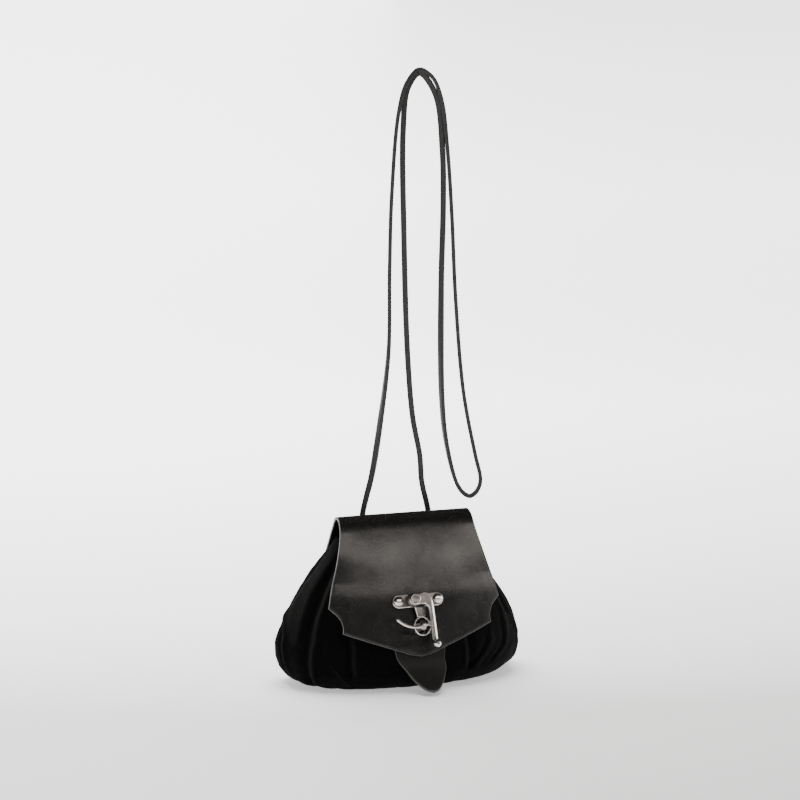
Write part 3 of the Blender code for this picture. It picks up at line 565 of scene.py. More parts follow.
def flap_place(x, distance, level):
    """A point of the flat pattern, at a level out of the leather's outer skin, bent to its place on the bag."""
    point, out = skin_point(distance)
    face = distance - REAR_LENGTH - ROLL_LENGTH
    level -= eased_roll(face)
    back = 0.0
    if face > 0.0:
        reach = max(0.0, (abs(x) - FLAT_HALF_WIDTH) / (FLAP_HALF_WIDTH - FLAT_HALF_WIDTH))
        back = FLAP_BOW * reach ** 2 * min(1.0, face / (0.4 * FACE_LENGTH))
        above = face / (PLATE_DROP - 0.010)
        if above < 1.0:
            level += 0.0003 * math.sin(math.pi * above) ** 2
        for across, down, wide, high in MOUNDS:
            away = math.hypot(x - across, face - down) / wide
            level += high * max(0.0, 1.0 - away ** 2) ** 2
    level += 0.00022 * noise.noise(Vector((x * 32.0, distance * 32.0, 4.0)))
    return BAG + Vector((x, point.x + out.x * level + back, point.y + out.y * level))


# Half of the flap's flat pattern down its face: runs of (half-width, distance down), sharp between runs
FLAP_SIDE = (
    ((0.0699, 0.000), (0.0712, 0.0076), (0.0748, 0.0236), (0.0790, 0.0392), (0.0832, 0.0533), (0.0864, 0.0657),
     (0.0885, 0.0750)),
    ((0.0885, 0.0750), (0.0838, 0.0795), (0.0803, 0.0830), (0.0777, 0.0876), (0.0764, 0.0925),
     (0.0768, 0.0998)),
    ((0.0768, 0.0998), (0.0620, 0.1054), (0.0434, 0.1123), (0.0215, 0.1203), (0.0106, 0.1243),
     (0.0000, 0.1264)),
)


def close_points(points, step):
    """Points about a step apart on the smooth curve through 2D points."""
    way = smooth_way([Vector((x, y, 0.0)) for x, y in points], step)
    return [(point.x, point.y) for point in way]


def flap_pattern():
    """The flap's closed outline on the flat leather: across, and distance from the back panel's lower edge."""
    corner = 0.012
    half = 0.0673
    top = FLAP_SIDE[0][0][0]
    side = [(0.0, 0.0), (half - corner, 0.0)]
    side += [(half - corner + corner * math.sin(a), corner - corner * math.cos(a))
             for a in np.linspace(0.2, math.pi / 2, 9)]
    side += [(half, y) for y in np.linspace(corner + 0.002, REAR_LENGTH, 40)]
    shares = np.linspace(0.02, 0.98, 28)
    side += [(half + (top - half) * share, REAR_LENGTH + ROLL_LENGTH * share) for share in shares]
    for run in FLAP_SIDE:
        side += [(x, REAR_LENGTH + ROLL_LENGTH + y) for x, y in close_points(run, 0.0011)][:-1]
    side.append((0.0, SKIN_LENGTH))
    dense = []
    for (x, y), (x2, y2) in zip(side, side[1:]):
        count = max(1, round(math.hypot(x2 - x, y2 - y) / 0.0014))
        dense += [(x + (x2 - x) * k / count, y + (y2 - y) * k / count) for k in range(count)]
    return dense + [(0.0, SKIN_LENGTH)] + [(-x, y) for x, y in reversed(dense[1:])]


def distances(points, loop):
    """Distance of each 2D point to a closed loop."""
    a = np.array(loop)
    b = np.roll(a, -1, axis=0)
    run = b - a
    length = (run ** 2).sum(1)
    best = np.full(len(points), np.inf)
    for first in range(0, len(points), 2000):
        p = points[first:first + 2000, None, :]
        t = np.clip(((p - a) * run).sum(2) / length, 0.0, 1.0)
        away = np.hypot(*(p - a - t[..., None] * run).transpose(2, 0, 1))
        best[first:first + 2000] = away.min(1)
    return best


def inside(points, loop):
    """Whether each 2D point is inside a closed loop."""
    a = np.array(loop)
    b = np.roll(a, -1, axis=0)
    x, y = points[:, 0, None], points[:, 1, None]
    with np.errstate(divide="ignore", invalid="ignore"):
        meets = (b[:, 0] - a[:, 0]) * (y - a[:, 1]) / (b[:, 1] - a[:, 1]) + a[:, 0]
        crossing = ((a[:, 1] > y) != (b[:, 1] > y)) & (x < meets)
    return crossing.sum(1) % 2 == 1


# Rings of points at these distances inside a cut edge carry its rounding and the pressed crease
RIM_STEPS = (0.00018, 0.00045, 0.00085, 0.0013, 0.0017, 0.0021, 0.0025, 0.0031, 0.0040)
EDGE_ROUNDING = 0.0005
CREASE_IN, CREASE_DEPTH, CREASE_WIDTH = 0.0017, 0.00016, 0.00030


def cut_leather(outline, holes, place, thickness, spacing):
    """A piece of leather cut to a closed outline with round holes, its edges rounded, a crease pressed along
    its rim, and bent to its place. A point attribute named rim keeps the distance from the nearest cut."""
    loops = [outline]
    for x, y, radius in holes:
        count = max(16, int(2 * math.pi * radius / 0.0009))
        turns = [2 * math.pi * k / count for k in range(count)]
        loops.append([(x + radius * math.cos(turn), y + radius * math.sin(turn)) for turn in turns])
    fixed, edges = [], []
    for loop in loops:
        first = len(fixed)
        fixed += loop
        edges += [(first + k, first + (k + 1) % len(loop)) for k in range(len(loop))]
    loose = []
    for number, loop in enumerate(loops):
        a = np.array(loop)
        run = np.roll(a, -1, axis=0) - np.roll(a, 1, axis=0)
        run /= np.hypot(run[:, 0], run[:, 1])[:, None]
        normal = np.stack([-run[:, 1], run[:, 0]], 1)
        probe = inside(a + normal * 0.0001, outline)
        if number:
            probe = ~inside(a + normal * 0.0001, loop)
        normal = np.where(probe[:, None], normal, -normal)
        for step in RIM_STEPS if number == 0 else RIM_STEPS[:3]:
            ring = a + normal * step
            loose.append(ring[distances(ring, loop) > step * 0.96])
    box = np.array(outline)
    xs = np.arange(box[:, 0].min(), box[:, 0].max(), spacing)
    ys = np.arange(box[:, 1].min(), box[:, 1].max(), spacing * 0.75)
    grid = np.array([(x + spacing * 0.5 * (k % 2), y) for k, y in enumerate(ys) for x in xs])
    loose.append(grid[distances(grid, outline) > RIM_STEPS[-1] + spacing * 0.3])
    loose = np.concatenate(loose)
    keep = inside(loose, outline)
    for loop, (x, y, radius) in zip(loops[1:], holes):
        away = np.hypot(loose[:, 0] - x, loose[:, 1] - y)
        keep &= away > radius * 1.005
    loose = loose[keep]
    points = [Vector(p) for p in fixed] + [Vector(p) for p in loose]
    made, _, faces, _, _, _ = delaunay_2d_cdt(points, edges, [], 0, 0.00001)
    flat = np.array([tuple(p) for p in made])
    corners = np.array([tuple(face) for face in faces])
    middle = flat[corners].mean(1)
    keep = inside(middle, outline)
    for loop in loops[1:]:
        keep &= ~inside(middle, loop)
    corners = corners[keep]
    rim = np.min([distances(flat, loop) for loop in loops], axis=0)
    edge = np.minimum(rim / EDGE_ROUNDING, 1.0)
    rounding = EDGE_ROUNDING * (1.0 - np.sqrt(1.0 - (1.0 - edge) ** 2))
    outer = distances(flat, outline)
    crease = CREASE_DEPTH * np.exp(-((outer - CREASE_IN) / CREASE_WIDTH) ** 2)
    form = bmesh.new()
    layer = form.verts.layers.float.new("rim")
    tops, lows = [], []
    for (x, y), drop, press, away in zip(flat, rounding, crease, rim):
        for side, level in ((tops, -drop - press), (lows, drop - thickness)):
            vertex = form.verts.new(place(x, y, level))
            vertex[layer] = away
            side.append(vertex)
    count = {}
    for a, b, c in corners:
        form.faces.new((tops[a], tops[b], tops[c]))
        form.faces.new((lows[c], lows[b], lows[a]))
        for pair in ((a, b), (b, c), (c, a)):
            key = frozenset(pair)
            count[key] = None if key in count else pair
    for pair in count.values():
        if pair:
            form.faces.new((tops[pair[0]], lows[pair[0]], lows[pair[1]], tops[pair[1]]))
    loose_points = [vertex for vertex in form.verts if not vertex.link_faces]
    bmesh.ops.delete(form, geom=loose_points, context="VERTS")
    return mesh_of(form)


def make_flap():
    face = REAR_LENGTH + ROLL_LENGTH
    hole_row = REAR_LENGTH - STRAP_HOLE_DROP
    holes = [(0.0, face + PLATE_DROP + STUD_DROP, 0.0064)]
    holes += [(side * STRAP_HOLE_SPAN, hole_row, 0.0030) for side in (-1, 1)]
    mesh = cut_leather(flap_pattern(), holes, flap_place, LEATHER, 0.0030)
    leather = black_leather("black leather", 0.36, 0.13, 1.0, 0.8)
    return finished("leather_flap", mesh, leather, "bag", ("flap",), 50.0)


make_flap()

TONGUE_HALF_WIDTH = 0.0265
TONGUE_START = 0.0760
TONGUE_LEAVE = FACE_LENGTH + GAP
TONGUE_TIP = Vector((-(POUCH_FRONT + 0.0260), 0.0042))
TONGUE_SWAY = 0.0036
# Half of the tongue's flat pattern: (share of its length, share of its half-width)
TONGUE_SIDE = (
    (0.00, 0.0), (0.00, 0.60), (0.02, 0.86), (0.07, 0.96), (0.16, 0.99), (0.30, 1.00), (0.47, 0.98),
    (0.55, 0.94), (0.62, 0.885), (0.72, 0.79), (0.81, 0.665), (0.885, 0.525), (0.945, 0.36), (0.982, 0.20),
    (1.00, 0.0),
)
tongue_leave = face_point(TONGUE_LEAVE, -(LEATHER + GAP))[0]
TONGUE_LENGTH = TONGUE_LEAVE - TONGUE_START + (TONGUE_TIP - tongue_leave).length


def tongue_place(x, distance, level):
    """A point of the tongue's flat pattern: behind the flap's face, then kicked out by the pouch to its tip."""
    straight = TONGUE_LEAVE - TONGUE_START
    if distance <= straight:
        point, out = face_point(TONGUE_START + distance, -(LEATHER + GAP))
    else:
        free = TONGUE_LENGTH - straight
        t = (distance - straight) / free
        down = face_plane(FACE_TILT - FACE_BEND)[1]
        handle = tongue_leave + down * free * 0.38
        point = tongue_leave * (1 - t) ** 2 + handle * 2 * t * (1 - t) + TONGUE_TIP * t ** 2
        run = (handle - tongue_leave) * 2 * (1 - t) + (TONGUE_TIP - handle) * 2 * t
        run.normalize()
        out = Vector((run.y, -run.x))
        level += 0.0008 * t * (1.0 - (x / TONGUE_HALF_WIDTH) ** 2)
        x += TONGUE_SWAY * smooth_step(2.2 * t)
    return BAG + Vector((x, point.x + out.x * level, point.y + out.y * level))


def make_tongue():
    side = [(wide * TONGUE_HALF_WIDTH, share * TONGUE_LENGTH) for share, wide in TONGUE_SIDE]
    side = close_points(side, 0.0012)
    outline = side[:-1] + [(0.0, TONGUE_LENGTH)] + [(-x, y) for x, y in reversed(side[1:-1])]
    holes = [(0.0, PLATE_DROP + STUD_DROP - TONGUE_START, 0.0022)]
    mesh = cut_leather(outline, holes, tongue_place, LEATHER, 0.0026)
    leather = black_leather("matt black leather", 0.18, 0.36, 1.5, 0.0)
    return finished("leather_tongue", mesh, leather, "bag", ("tongue",), 50.0)


make_tongue()

# Clasp: local plane of the flap's face, x to the right, y up the face, z out of the leather
face_out, face_down = face_plane(FACE_TILT)
seat_point = ROLL_CENTRE + face_out * ROLL_RADIUS + face_down * PLATE_DROP
SEAT = Matrix.Translation(BAG + Vector((0.0, *seat_point))) @ Matrix.Rotation(math.pi / 2 - FACE_TILT, 4, "X")
PIVOT = SEAT @ Matrix.Translation((PIVOT_X, 0.0, 0.0))
silver = antique_silver()


def arc(centre, radius, start, end, steps):
    angles = [math.radians(start + (end - start) * step / steps) for step in range(steps + 1)]
    return [(centre[0] + radius * math.cos(a), centre[1] + radius * math.sin(a)) for a in angles]


def band(form, low, high):
    """Faces between two rings of as many points."""
    count = len(low)
    for k in range(count):
        after = (k + 1) % count
        form.faces.new((low[k], low[after], high[after], high[k]))


def stacked(form, outline, levels):
    """A closed solid from one outline at rising levels (height, inset), an inset for all points or for each."""
    points = np.array(outline)
    before, after = points - np.roll(points, 1, axis=0), np.roll(points, -1, axis=0) - points
    before /= np.hypot(*before.T)[:, None]
    after /= np.hypot(*after.T)[:, None]
    bisector = np.stack([-(before + after)[:, 1], (before + after)[:, 0]], 1)
    bisector /= np.hypot(*bisector.T)[:, None]
    lean = np.maximum(0.5, (bisector * np.stack([-after[:, 1], after[:, 0]], 1)).sum(1))
    inward = bisector / lean[:, None]
    rings = []
    for height, inset in levels:
        moved = points + inward * np.broadcast_to(np.asarray(inset, float), len(points))[:, None]
        rings.append([form.verts.new((x, y, height)) for x, y in moved])
    for low, high in zip(rings, rings[1:]):
        band(form, low, high)
    form.faces.new(list(reversed(rings[0])))
    form.faces.new(rings[-1])


def turned(form, profile, sides):
    """A closed solid turned about the local Z axis: its profile (radius, height) runs from the top down."""
    turns = [2 * math.pi * k / sides for k in range(sides)]
    rings = []
    for radius, height in profile:
        if radius == 0.0:
            rings.append([form.verts.new((0.0, 0.0, height))])
            continue
        ring = [(radius * math.cos(turn), radius * math.sin(turn), height) for turn in turns]
        rings.append([form.verts.new(point) for point in ring])
    for high, low in zip(rings, rings[1:]):
        for k in range(sides):
            after = (k + 1) % sides
            ring = [high[k % len(high)], high[after % len(high)], low[after % len(low)], low[k % len(low)]]
            kept = [vertex for number, vertex in enumerate(ring) if vertex not in ring[:number]]
            form.faces.new(kept)


def wire(form, points, radius, closed=False, sides=20):
    """A round wire through 3D points; open ends are domed."""
    count = len(points)
    rings = []
    for k, point in enumerate(points):
        before = points[(k - 1) % count] if closed or k else points[0]
        after = points[(k + 1) % count] if closed or k < count - 1 else points[-1]
        run = (after - before).normalized()
        side = run.cross(Vector((0.0, 0.0, 1.0))).normalized()
        up = side.cross(run)
        rings.append((point, side, up, run))
    if not closed:
        first, last = rings[0], rings[-1]
        caps = [(math.sin(a), math.cos(a)) for a in (0.35, 0.8, 1.2)]
        start = [(first[0] - first[3] * radius * c, first[1], first[2], s) for s, c in caps]
        finish = [(last[0] + last[3] * radius * c, last[1], last[2], s) for s, c in reversed(caps)]
        rings = start + [(p, s, u, 1.0) for p, s, u, _ in rings] + finish
    else:
        rings = [(p, s, u, 1.0) for p, s, u, _ in rings]
    turns = [2 * math.pi * k / sides for k in range(sides)]
    made = []
    for point, side, up, share in rings:
        made.append([form.verts.new(point + (side * math.cos(turn) + up * math.sin(turn)) * radius * share)
                     for turn in turns])
    pairs = list(zip(made, made[1:])) + ([(made[-1], made[0])] if closed else [])
    for low, high in pairs:
        band(form, low, high)
    if not closed:
        form.faces.new(list(reversed(made[0])))
        form.faces.new(made[-1])


def silver_piece(name, mesh, place, replaced, smooth, body="bag", wear=lambda point, bevel: bevel):
    """A finished piece of the clasp, with its edges rubbed as its own frame, place, says."""
    return finished(name, rub_edges(mesh, place, wear), silver, body, replaced, smooth)


def make_backplate():
    form = bmesh.new()
    straight, half = 0.0197, 0.0066
    ends = arc((straight, 0.0), half, -90, 90, 28) + arc((-straight, 0.0), half, 90, 270, 28)
    levels = ((GAP, 0.0003), (GAP + 0.0004, 0.0), (0.0012, 0.0), (0.00155, 0.00016), (0.0018, 0.0006))
    stacked(form, ends, levels)
    low = -STUD_DROP + 0.0096
    link = [(-0.0048, -0.0066), (-0.0030, low), (0.0050, low), (0.0063, -0.0066)]
    stacked(form, link, ((0.0011, 0.0), (0.0037, 0.0), (0.0043, 0.0005), (0.0044, 0.0011)))
    centre, radius = Vector((0.0010, 0.0006 - STUD_DROP, 0.0034)), 0.0088
    ring = [centre + Vector((0.91 * x, y, 0.0)) for x, y in arc((0.0, 0.0), radius, 0, 356.25, 95)]
    wire(form, ring, 0.00085, closed=True, sides=14)

    def wear(point, bevel):
        on_ring = (point - centre).xy.length < radius + 0.0017 and 0.0020 < point.z < 0.00435
        return 1.0 if on_ring else bevel

    silver_piece("silver_backplate", mesh_of(form, SEAT), SEAT, ("clasp_plate",), 24.0, wear=wear)


def rivet_tree(material):
    """Nodes that set a rivet on each given point."""
    tree = Tree("rivets on their seats", {"Seats": "Geometry", "Rivet": "Object", "Size": "Float"}, "Rivets")
    seats, source = tree.node("MeshToPoints"), tree.node("ObjectInfo")
    spread, whole = tree.node("InstanceOnPoints"), tree.node("RealizeInstances")
    paint = tree.node("SetMaterial", Material=material)
    tree.join(
        (tree.start, "Seats", seats, "Mesh"), (tree.start, "Rivet", source, "Object"),
        (seats, "Points", spread, "Points"), (source, "Geometry", spread, "Instance"),
        (tree.start, "Size", spread, "Scale"), (spread, "Instances", whole, "Geometry"),
        (whole, "Geometry", paint, "Geometry"), (paint, "Geometry", tree.end, "Rivets"))
    return tree.group


def make_rivets():
    top, radius, high = 0.0021, 0.0050, 0.0031
    turns = np.linspace(0.0, math.pi / 2, 14)
    dome = [(radius * math.sin(a), top + 0.0003 + high * math.cos(a)) for a in turns]
    form = bmesh.new()
    turned(form, dome + [(radius, top), (SHANK_RADIUS, top), (SHANK_RADIUS, -0.0025), (0.0, -0.0025)], 56)
    pattern = added("rivet pattern", mesh_of(form))
    seats = bpy.data.meshes.new("rivet seats")
    seats.from_pydata([(-RIVET_SPAN, 0.0, 0.0), (RIVET_SPAN, 0.0, 0.0)], [], [])
    mesh = drawn_by_nodes(added("rivet seats", seats), rivet_tree(silver), Rivet=pattern, Size=1.0)
    bpy.data.objects.remove(pattern)
    mesh.transform(SEAT)
    replaced = ("rivet_left", "rivet_right")
    silver_piece("silver_rivets", mesh, SEAT, replaced, 40.0, wear=lambda point, bevel: 1.0)


def make_pivot():
    form = bmesh.new()
    cap = [(0.0, 0.01440), (0.0039, 0.01440), (0.0041, 0.01452), (0.0046, 0.01455), (0.0051, 0.01425),
           (0.0052, 0.0136), (0.0052, 0.0126), (0.0050, 0.0123)]
    axle = [(0.0023, 0.0123), (0.0023, 0.0087)]
    barrel = [(0.0052, 0.0087), (0.0058, 0.0085), (0.0063, 0.0080), (0.0065, 0.0073), (0.0065, 0.0030),
              (0.0063, 0.0021), (0.0, 0.0021)]
    turned(form, cap + axle + barrel, 64)
    silver_piece("silver_pivot", mesh_of(form, PIVOT), PIVOT, ("pivot_post",), 40.0,
                 wear=lambda point, bevel: bevel * (point.z > 0.0120))


def cut(mesh, cutter, operation="DIFFERENCE"):
    """A mesh cut by another, or joined with it."""
    item, other = added("part", mesh), added("cutter", cutter)
    modifier = item.modifiers.new("cut", "BOOLEAN")
    modifier.operation = operation
    modifier.solver = "EXACT"
    modifier.object = other
    mesh = plain_mesh(item)
    bpy.data.objects.remove(other)
    return mesh


def pin_way(start, end, steps, height):
    """The pin's arc about the pivot, angles from straight down, towards the bar."""
    angles = [start + (end - start) * step / steps for step in range(steps + 1)]
    return [Vector((PIN_ARC * math.sin(a), -PIN_ARC * math.cos(a), height)) for a in angles]


def make_stud():
    body = bmesh.new()
    low = -LEATHER
    turned(body, [(0.0, 0.0094), (0.0020, 0.0090), (0.0021, 0.0072), (0.0021, low + 0.0010),
                  (0.0038, low + 0.0010), (0.0040, low + 0.0008), (0.0040, low), (0.0, low)], 40)
    bead = bmesh.new()
    bmesh.ops.create_uvsphere(bead, u_segments=56, v_segments=36, radius=0.0038)
    bmesh.ops.scale(bead, vec=(1.0, 1.15, 1.0), verts=bead.verts)
    bmesh.ops.translate(bead, vec=(0.0, 0.0, LEVER_MIDDLE), verts=bead.verts)
    whole = cut(mesh_of(body), mesh_of(bead), "UNION")
    middle = math.asin((STUD_X - PIVOT_X) / PIN_ARC)
    to_stud = Vector((PIVOT_X - STUD_X, STUD_DROP, 0.0))
    bore = bmesh.new()
    way = [point + to_stud for point in pin_way(middle - 0.26, middle + 0.26, 16, LEVER_MIDDLE)]
    wire(bore, way, 0.0019, sides=24)
    mesh = cut(whole, mesh_of(bore))
    mesh.transform(SEAT @ Matrix.Translation((STUD_X, -STUD_DROP, 0.0)))
    silver_piece("silver_stud", mesh, SEAT, ("stud",), 35.0,
                 wear=lambda point, bevel: 0.45 * (point.z > LEVER_MIDDLE - 0.003))


BAR_LEFT, BAR_END = 0.0135, -0.0407
# Lever outline about the pivot, counterclockwise from the hub: (across, up, its top's bevel in millimetres)
LEVER_SHAPE = (
    (0.0095, -0.0049, 0.6), (0.0112, -0.0061, 0.6), (0.0131, -0.0086, 0.6), (BAR_LEFT, -0.0105, 0.5),
    (BAR_LEFT, -0.0400, 0.5), (0.0136, BAR_END, 0.4), (0.0188, BAR_END, 0.5), (0.0189, -0.0401, 2.0),
    (0.0188, -0.0300, 2.1), (0.0187, -0.0200, 2.1), (0.0186, -0.0120, 2.1), (0.0184, -0.0070, 2.0),
    (0.0180, -0.0030, 1.8), (0.0175, 0.0002, 1.5), (0.0168, 0.0026, 1.1), (0.0158, 0.0043, 0.8),
    (0.0146, 0.0053, 0.6), (0.0130, 0.0059, 0.5), (0.0110, 0.0062, 0.5), (0.0090, 0.0062, 0.5),
    (0.0070, 0.0057, 0.5), (0.0050, 0.0051, 0.5), (0.0020, 0.0050, 0.4),
)


def make_lever():
    hub = [(x, y, 0.4) for x, y in arc((0.0, 0.0), 0.0056, 112, 250, 24)]
    shape = [(x, y) for x, y, _ in hub + list(LEVER_SHAPE)]
    bevel = np.array([wide for _, _, wide in hub + list(LEVER_SHAPE)]) / 1000.0
    broad = np.maximum(bevel - 0.0006, 0.0)
    form = bmesh.new()
    stacked(form, shape, ((LEVER_LOW, 0.0003), (LEVER_LOW + 0.0003, 0.0), (LEVER_LOW + 0.0017, 0.0),
                          (LEVER_LOW + 0.0025, broad), (LEVER_LOW + LEVER_THICKNESS, bevel)))
    bore = bmesh.new()
    turned(bore, [(0.0, 0.02), (0.0026, 0.02), (0.0026, 0.0), (0.0, 0.0)], 40)
    mesh = cut(mesh_of(form), mesh_of(bore))
    form = bmesh.new()
    form.from_mesh(mesh)
    middle = math.asin((BAR_LEFT - 0.0015) / PIN_ARC)
    height = -PIN_ARC * math.cos(middle)
    left, right, half = 0.0104, 0.0150, 0.00285
    block = [(left, height - half), (right, height - half), (right, height + half), (left, height + half)]
    low = LEVER_MIDDLE - 0.0020
    stacked(form, block, ((low, 0.0003), (low + 0.0003, 0.0), (low + 0.0035, 0.0), (low + 0.0040, 0.0005)))
    wire(form, pin_way(middle, math.radians(-46.5), 40, LEVER_MIDDLE), 0.0016, sides=24)
    ball = Vector((0.0171, -0.0446, LEVER_MIDDLE + 0.0018))
    neck = [Vector((0.0162, -0.0390, LEVER_MIDDLE)), Vector((0.0165, -0.0412, LEVER_MIDDLE + 0.0003)), ball]
    wire(form, neck, 0.0015)
    place = Matrix.Translation(ball)
    bmesh.ops.create_uvsphere(form, u_segments=48, v_segments=32, radius=0.00405, matrix=place)
    silver_piece("silver_lever", mesh_of(form, PIVOT), PIVOT, ("lever",), 24.0, body="lever")


make_backplate()
make_rivets()
make_pivot()
make_stud()
make_lever()

# Pouch: a lofted shell whose suede is gathered in pleats under the flap
# Sections, upwards: (share of height, share of half-width, share of front, share of back)
SECTIONS = np.array((
    (0.000, 0.790, 0.800, 0.720), (0.018, 0.850, 0.880, 0.830), (0.056, 0.905, 0.950, 0.920),
    (0.110, 0.955, 0.990, 0.980), (0.190, 0.988, 1.000, 1.000), (0.280, 0.992, 0.995, 0.990),
    (0.370, 0.962, 0.970, 0.960), (0.460, 0.915, 0.930, 0.920), (0.550, 0.856, 0.880, 0.880),
    (0.640, 0.790, 0.820, 0.820), (0.730, 0.716, 0.760, 0.760), (0.820, 0.640, 0.690, 0.700),
    (0.910, 0.566, 0.620, 0.640), (1.000, 0.500, 0.560, 0.600),
))
# Folds: way down the pouch as (turn, share of height), then millimetres: ridge height and width, valley depth,
# its distance to one side, and its width
FOLDS = (
    (((0.484, 0.97), (0.458, 0.77), (0.462, 0.54), (0.526, 0.36), (0.533, 0.25), (0.537, 0.06)),
     2.6, 4.0, 3.4, -7.0, 5.0),
    (((0.545, 0.97), (0.545, 0.85), (0.545, 0.63), (0.560, 0.45), (0.565, 0.30)), 1.6, 6.0, 2.2, 8.0, 6.0),
    (((0.590, 0.85), (0.599, 0.62), (0.600, 0.52), (0.606, 0.34), (0.601, 0.19), (0.590, 0.03)),
     2.8, 4.0, 3.6, -6.0, 5.0),
    (((0.664, 0.60), (0.668, 0.36), (0.671, 0.29), (0.667, 0.10)), 1.5, 5.0, 4.2, -5.0, 3.5),
    (((0.628, 0.26), (0.636, 0.18), (0.645, 0.10), (0.655, 0.03)), 1.0, 3.0, 1.6, 3.0, 2.5),
    (((0.806, 0.46), (0.808, 0.27), (0.809, 0.10)), 1.2, 3.0, 3.6, 6.0, 4.0),
    (((0.862, 0.42), (0.853, 0.27), (0.838, 0.18), (0.818, 0.09)), 1.6, 3.5, 2.2, -6.0, 4.0),
    (((0.905, 0.50), (0.899, 0.36), (0.888, 0.22), (0.860, 0.12)), 1.6, 3.5, 2.0, -5.0, 4.0),
    (((0.920, 0.85), (0.908, 0.56), (0.907, 0.41)), 1.4, 4.0, 1.8, 6.0, 4.5),
    (((0.950, 0.97), (0.946, 0.70), (0.940, 0.42), (0.944, 0.20), (0.950, 0.05)), 2.0, 5.0, 3.0, 8.0, 6.0),
    (((1.000, 0.97), (0.996, 0.70), (0.990, 0.40), (0.994, 0.10)), 2.0, 5.0, 2.8, -8.0, 6.0),
    (((0.060, 0.97), (0.048, 0.60), (0.040, 0.30), (0.044, 0.06)), 2.2, 5.0, 3.0, 7.0, 6.0),
    (((0.120, 0.97), (0.108, 0.60), (0.104, 0.30), (0.110, 0.05)), 2.2, 5.0, 3.2, 8.0, 5.0),
    (((0.172, 0.80), (0.168, 0.50), (0.166, 0.20), (0.172, 0.04)), 2.0, 5.0, 2.8, -7.0, 5.0),
    (((0.230, 0.75), (0.228, 0.45), (0.232, 0.18), (0.226, 0.05)), 1.8, 5.5, 3.0, 8.0, 5.0),
    (((0.288, 0.75), (0.292, 0.45), (0.286, 0.20), (0.292, 0.06)), 1.8, 5.0, 2.6, -8.0, 5.0),
    (((0.344, 0.80), (0.350, 0.50), (0.348, 0.22), (0.340, 0.05)), 2.0, 5.0, 3.0, 7.0, 5.0),
    (((0.392, 0.97), (0.402, 0.60), (0.404, 0.30), (0.398, 0.05)), 2.2, 5.0, 3.0, -7.0, 5.0),
    (((0.440, 0.97), (0.436, 0.60), (0.430, 0.30), (0.434, 0.08)), 1.8, 5.0, 2.4, 7.0, 5.0),
)
POUCH_TURNS, POUCH_ROWS = 400, 110
# How boxy the pouch's sections are towards the front and the back, 2 being an ellipse
FRONT_FULLNESS, BACK_FULLNESS = 2.25, 2.9
SUEDE = 0.0018
GATHER_LENGTH = 0.023


def pouch_rows():
    """Sections at close, smooth steps of height, more of them near the base."""
    share = np.linspace(0.0, 1.0, POUCH_ROWS) ** 1.25
    close = np.linspace(0.0, 1.0, 801)
    kernel = np.exp(-np.linspace(-2.2, 2.2, 45) ** 2)
    rows = []
    for column in (1, 2, 3):
        line = np.interp(close, SECTIONS[:, 0], SECTIONS[:, column])
        padded = np.concatenate([2 * line[0] - line[22:0:-1], line, 2 * line[-1] - line[-2:-24:-1]])
        rows.append(np.interp(share, close, np.convolve(padded, kernel / kernel.sum(), "valid")))
    return share, rows


def front_room(height):
    """How far forward the suede may come at a height: behind the flap, with room for the tongue."""
    way = [face_point(along, -2 * (LEATHER + GAP))[0] for along in np.linspace(TONGUE_LEAVE, 0.0, 60)]
    inner = np.array([(-POUCH_FRONT, 0.008)] + [tuple(point) for point in way])
    return np.interp(height, inner[:, 1], inner[:, 0])


def back_room(height):
    """How far back it may come: inside the flap's back panel."""
    way = [skin_point(REAR_LENGTH * share) for share in np.linspace(0.0, 1.0, 60)]
    inner = [tuple(point - out * (LEATHER + GAP)) for point, out in way]
    inner = np.array([(POUCH_BACK, inner[0][1] - 0.016)] + inner)
    return np.interp(height, inner[:, 1], inner[:, 0])


def pouch_surface():
    """The plain pouch: its rows' shares of the height, its points, the way out of each and along the rows."""
    share, (wide, front, back) = pouch_rows()
    height = share * POUCH_HEIGHT
    turn = np.arange(POUCH_TURNS) / POUCH_TURNS
    across, along = np.cos(2 * np.pi * turn), np.sin(2 * np.pi * turn)
    depth_front = np.minimum(POUCH_FRONT * front, -front_room(height))
    depth_back = np.minimum(POUCH_BACK * back, back_room(height))
    fullness = np.where(along >= 0.0, BACK_FULLNESS, FRONT_FULLNESS)
    x = POUCH_HALF_WIDTH * wide[:, None] * (np.sign(across) * np.abs(across) ** (2 / fullness))[None, :]
    deep = np.where(along[None, :] >= 0.0, depth_back[:, None], depth_front[:, None])
    y = deep * (np.sign(along) * np.abs(along) ** (2 / fullness))[None, :]
    points = np.stack([x, y, np.broadcast_to(height[:, None], x.shape)], 2)
    run = np.roll(points, -1, axis=1) - points
    lengths = np.hypot(run[..., 0], run[..., 1])
    arc_at = np.concatenate([np.zeros((len(share), 1)), np.cumsum(lengths, axis=1)], axis=1)
    normal = np.cross(np.roll(points, -1, axis=1) - np.roll(points, 1, axis=1), np.gradient(points, axis=0))
    normal /= np.linalg.norm(normal, axis=2)[..., None]
    return share, points, normal, arc_at


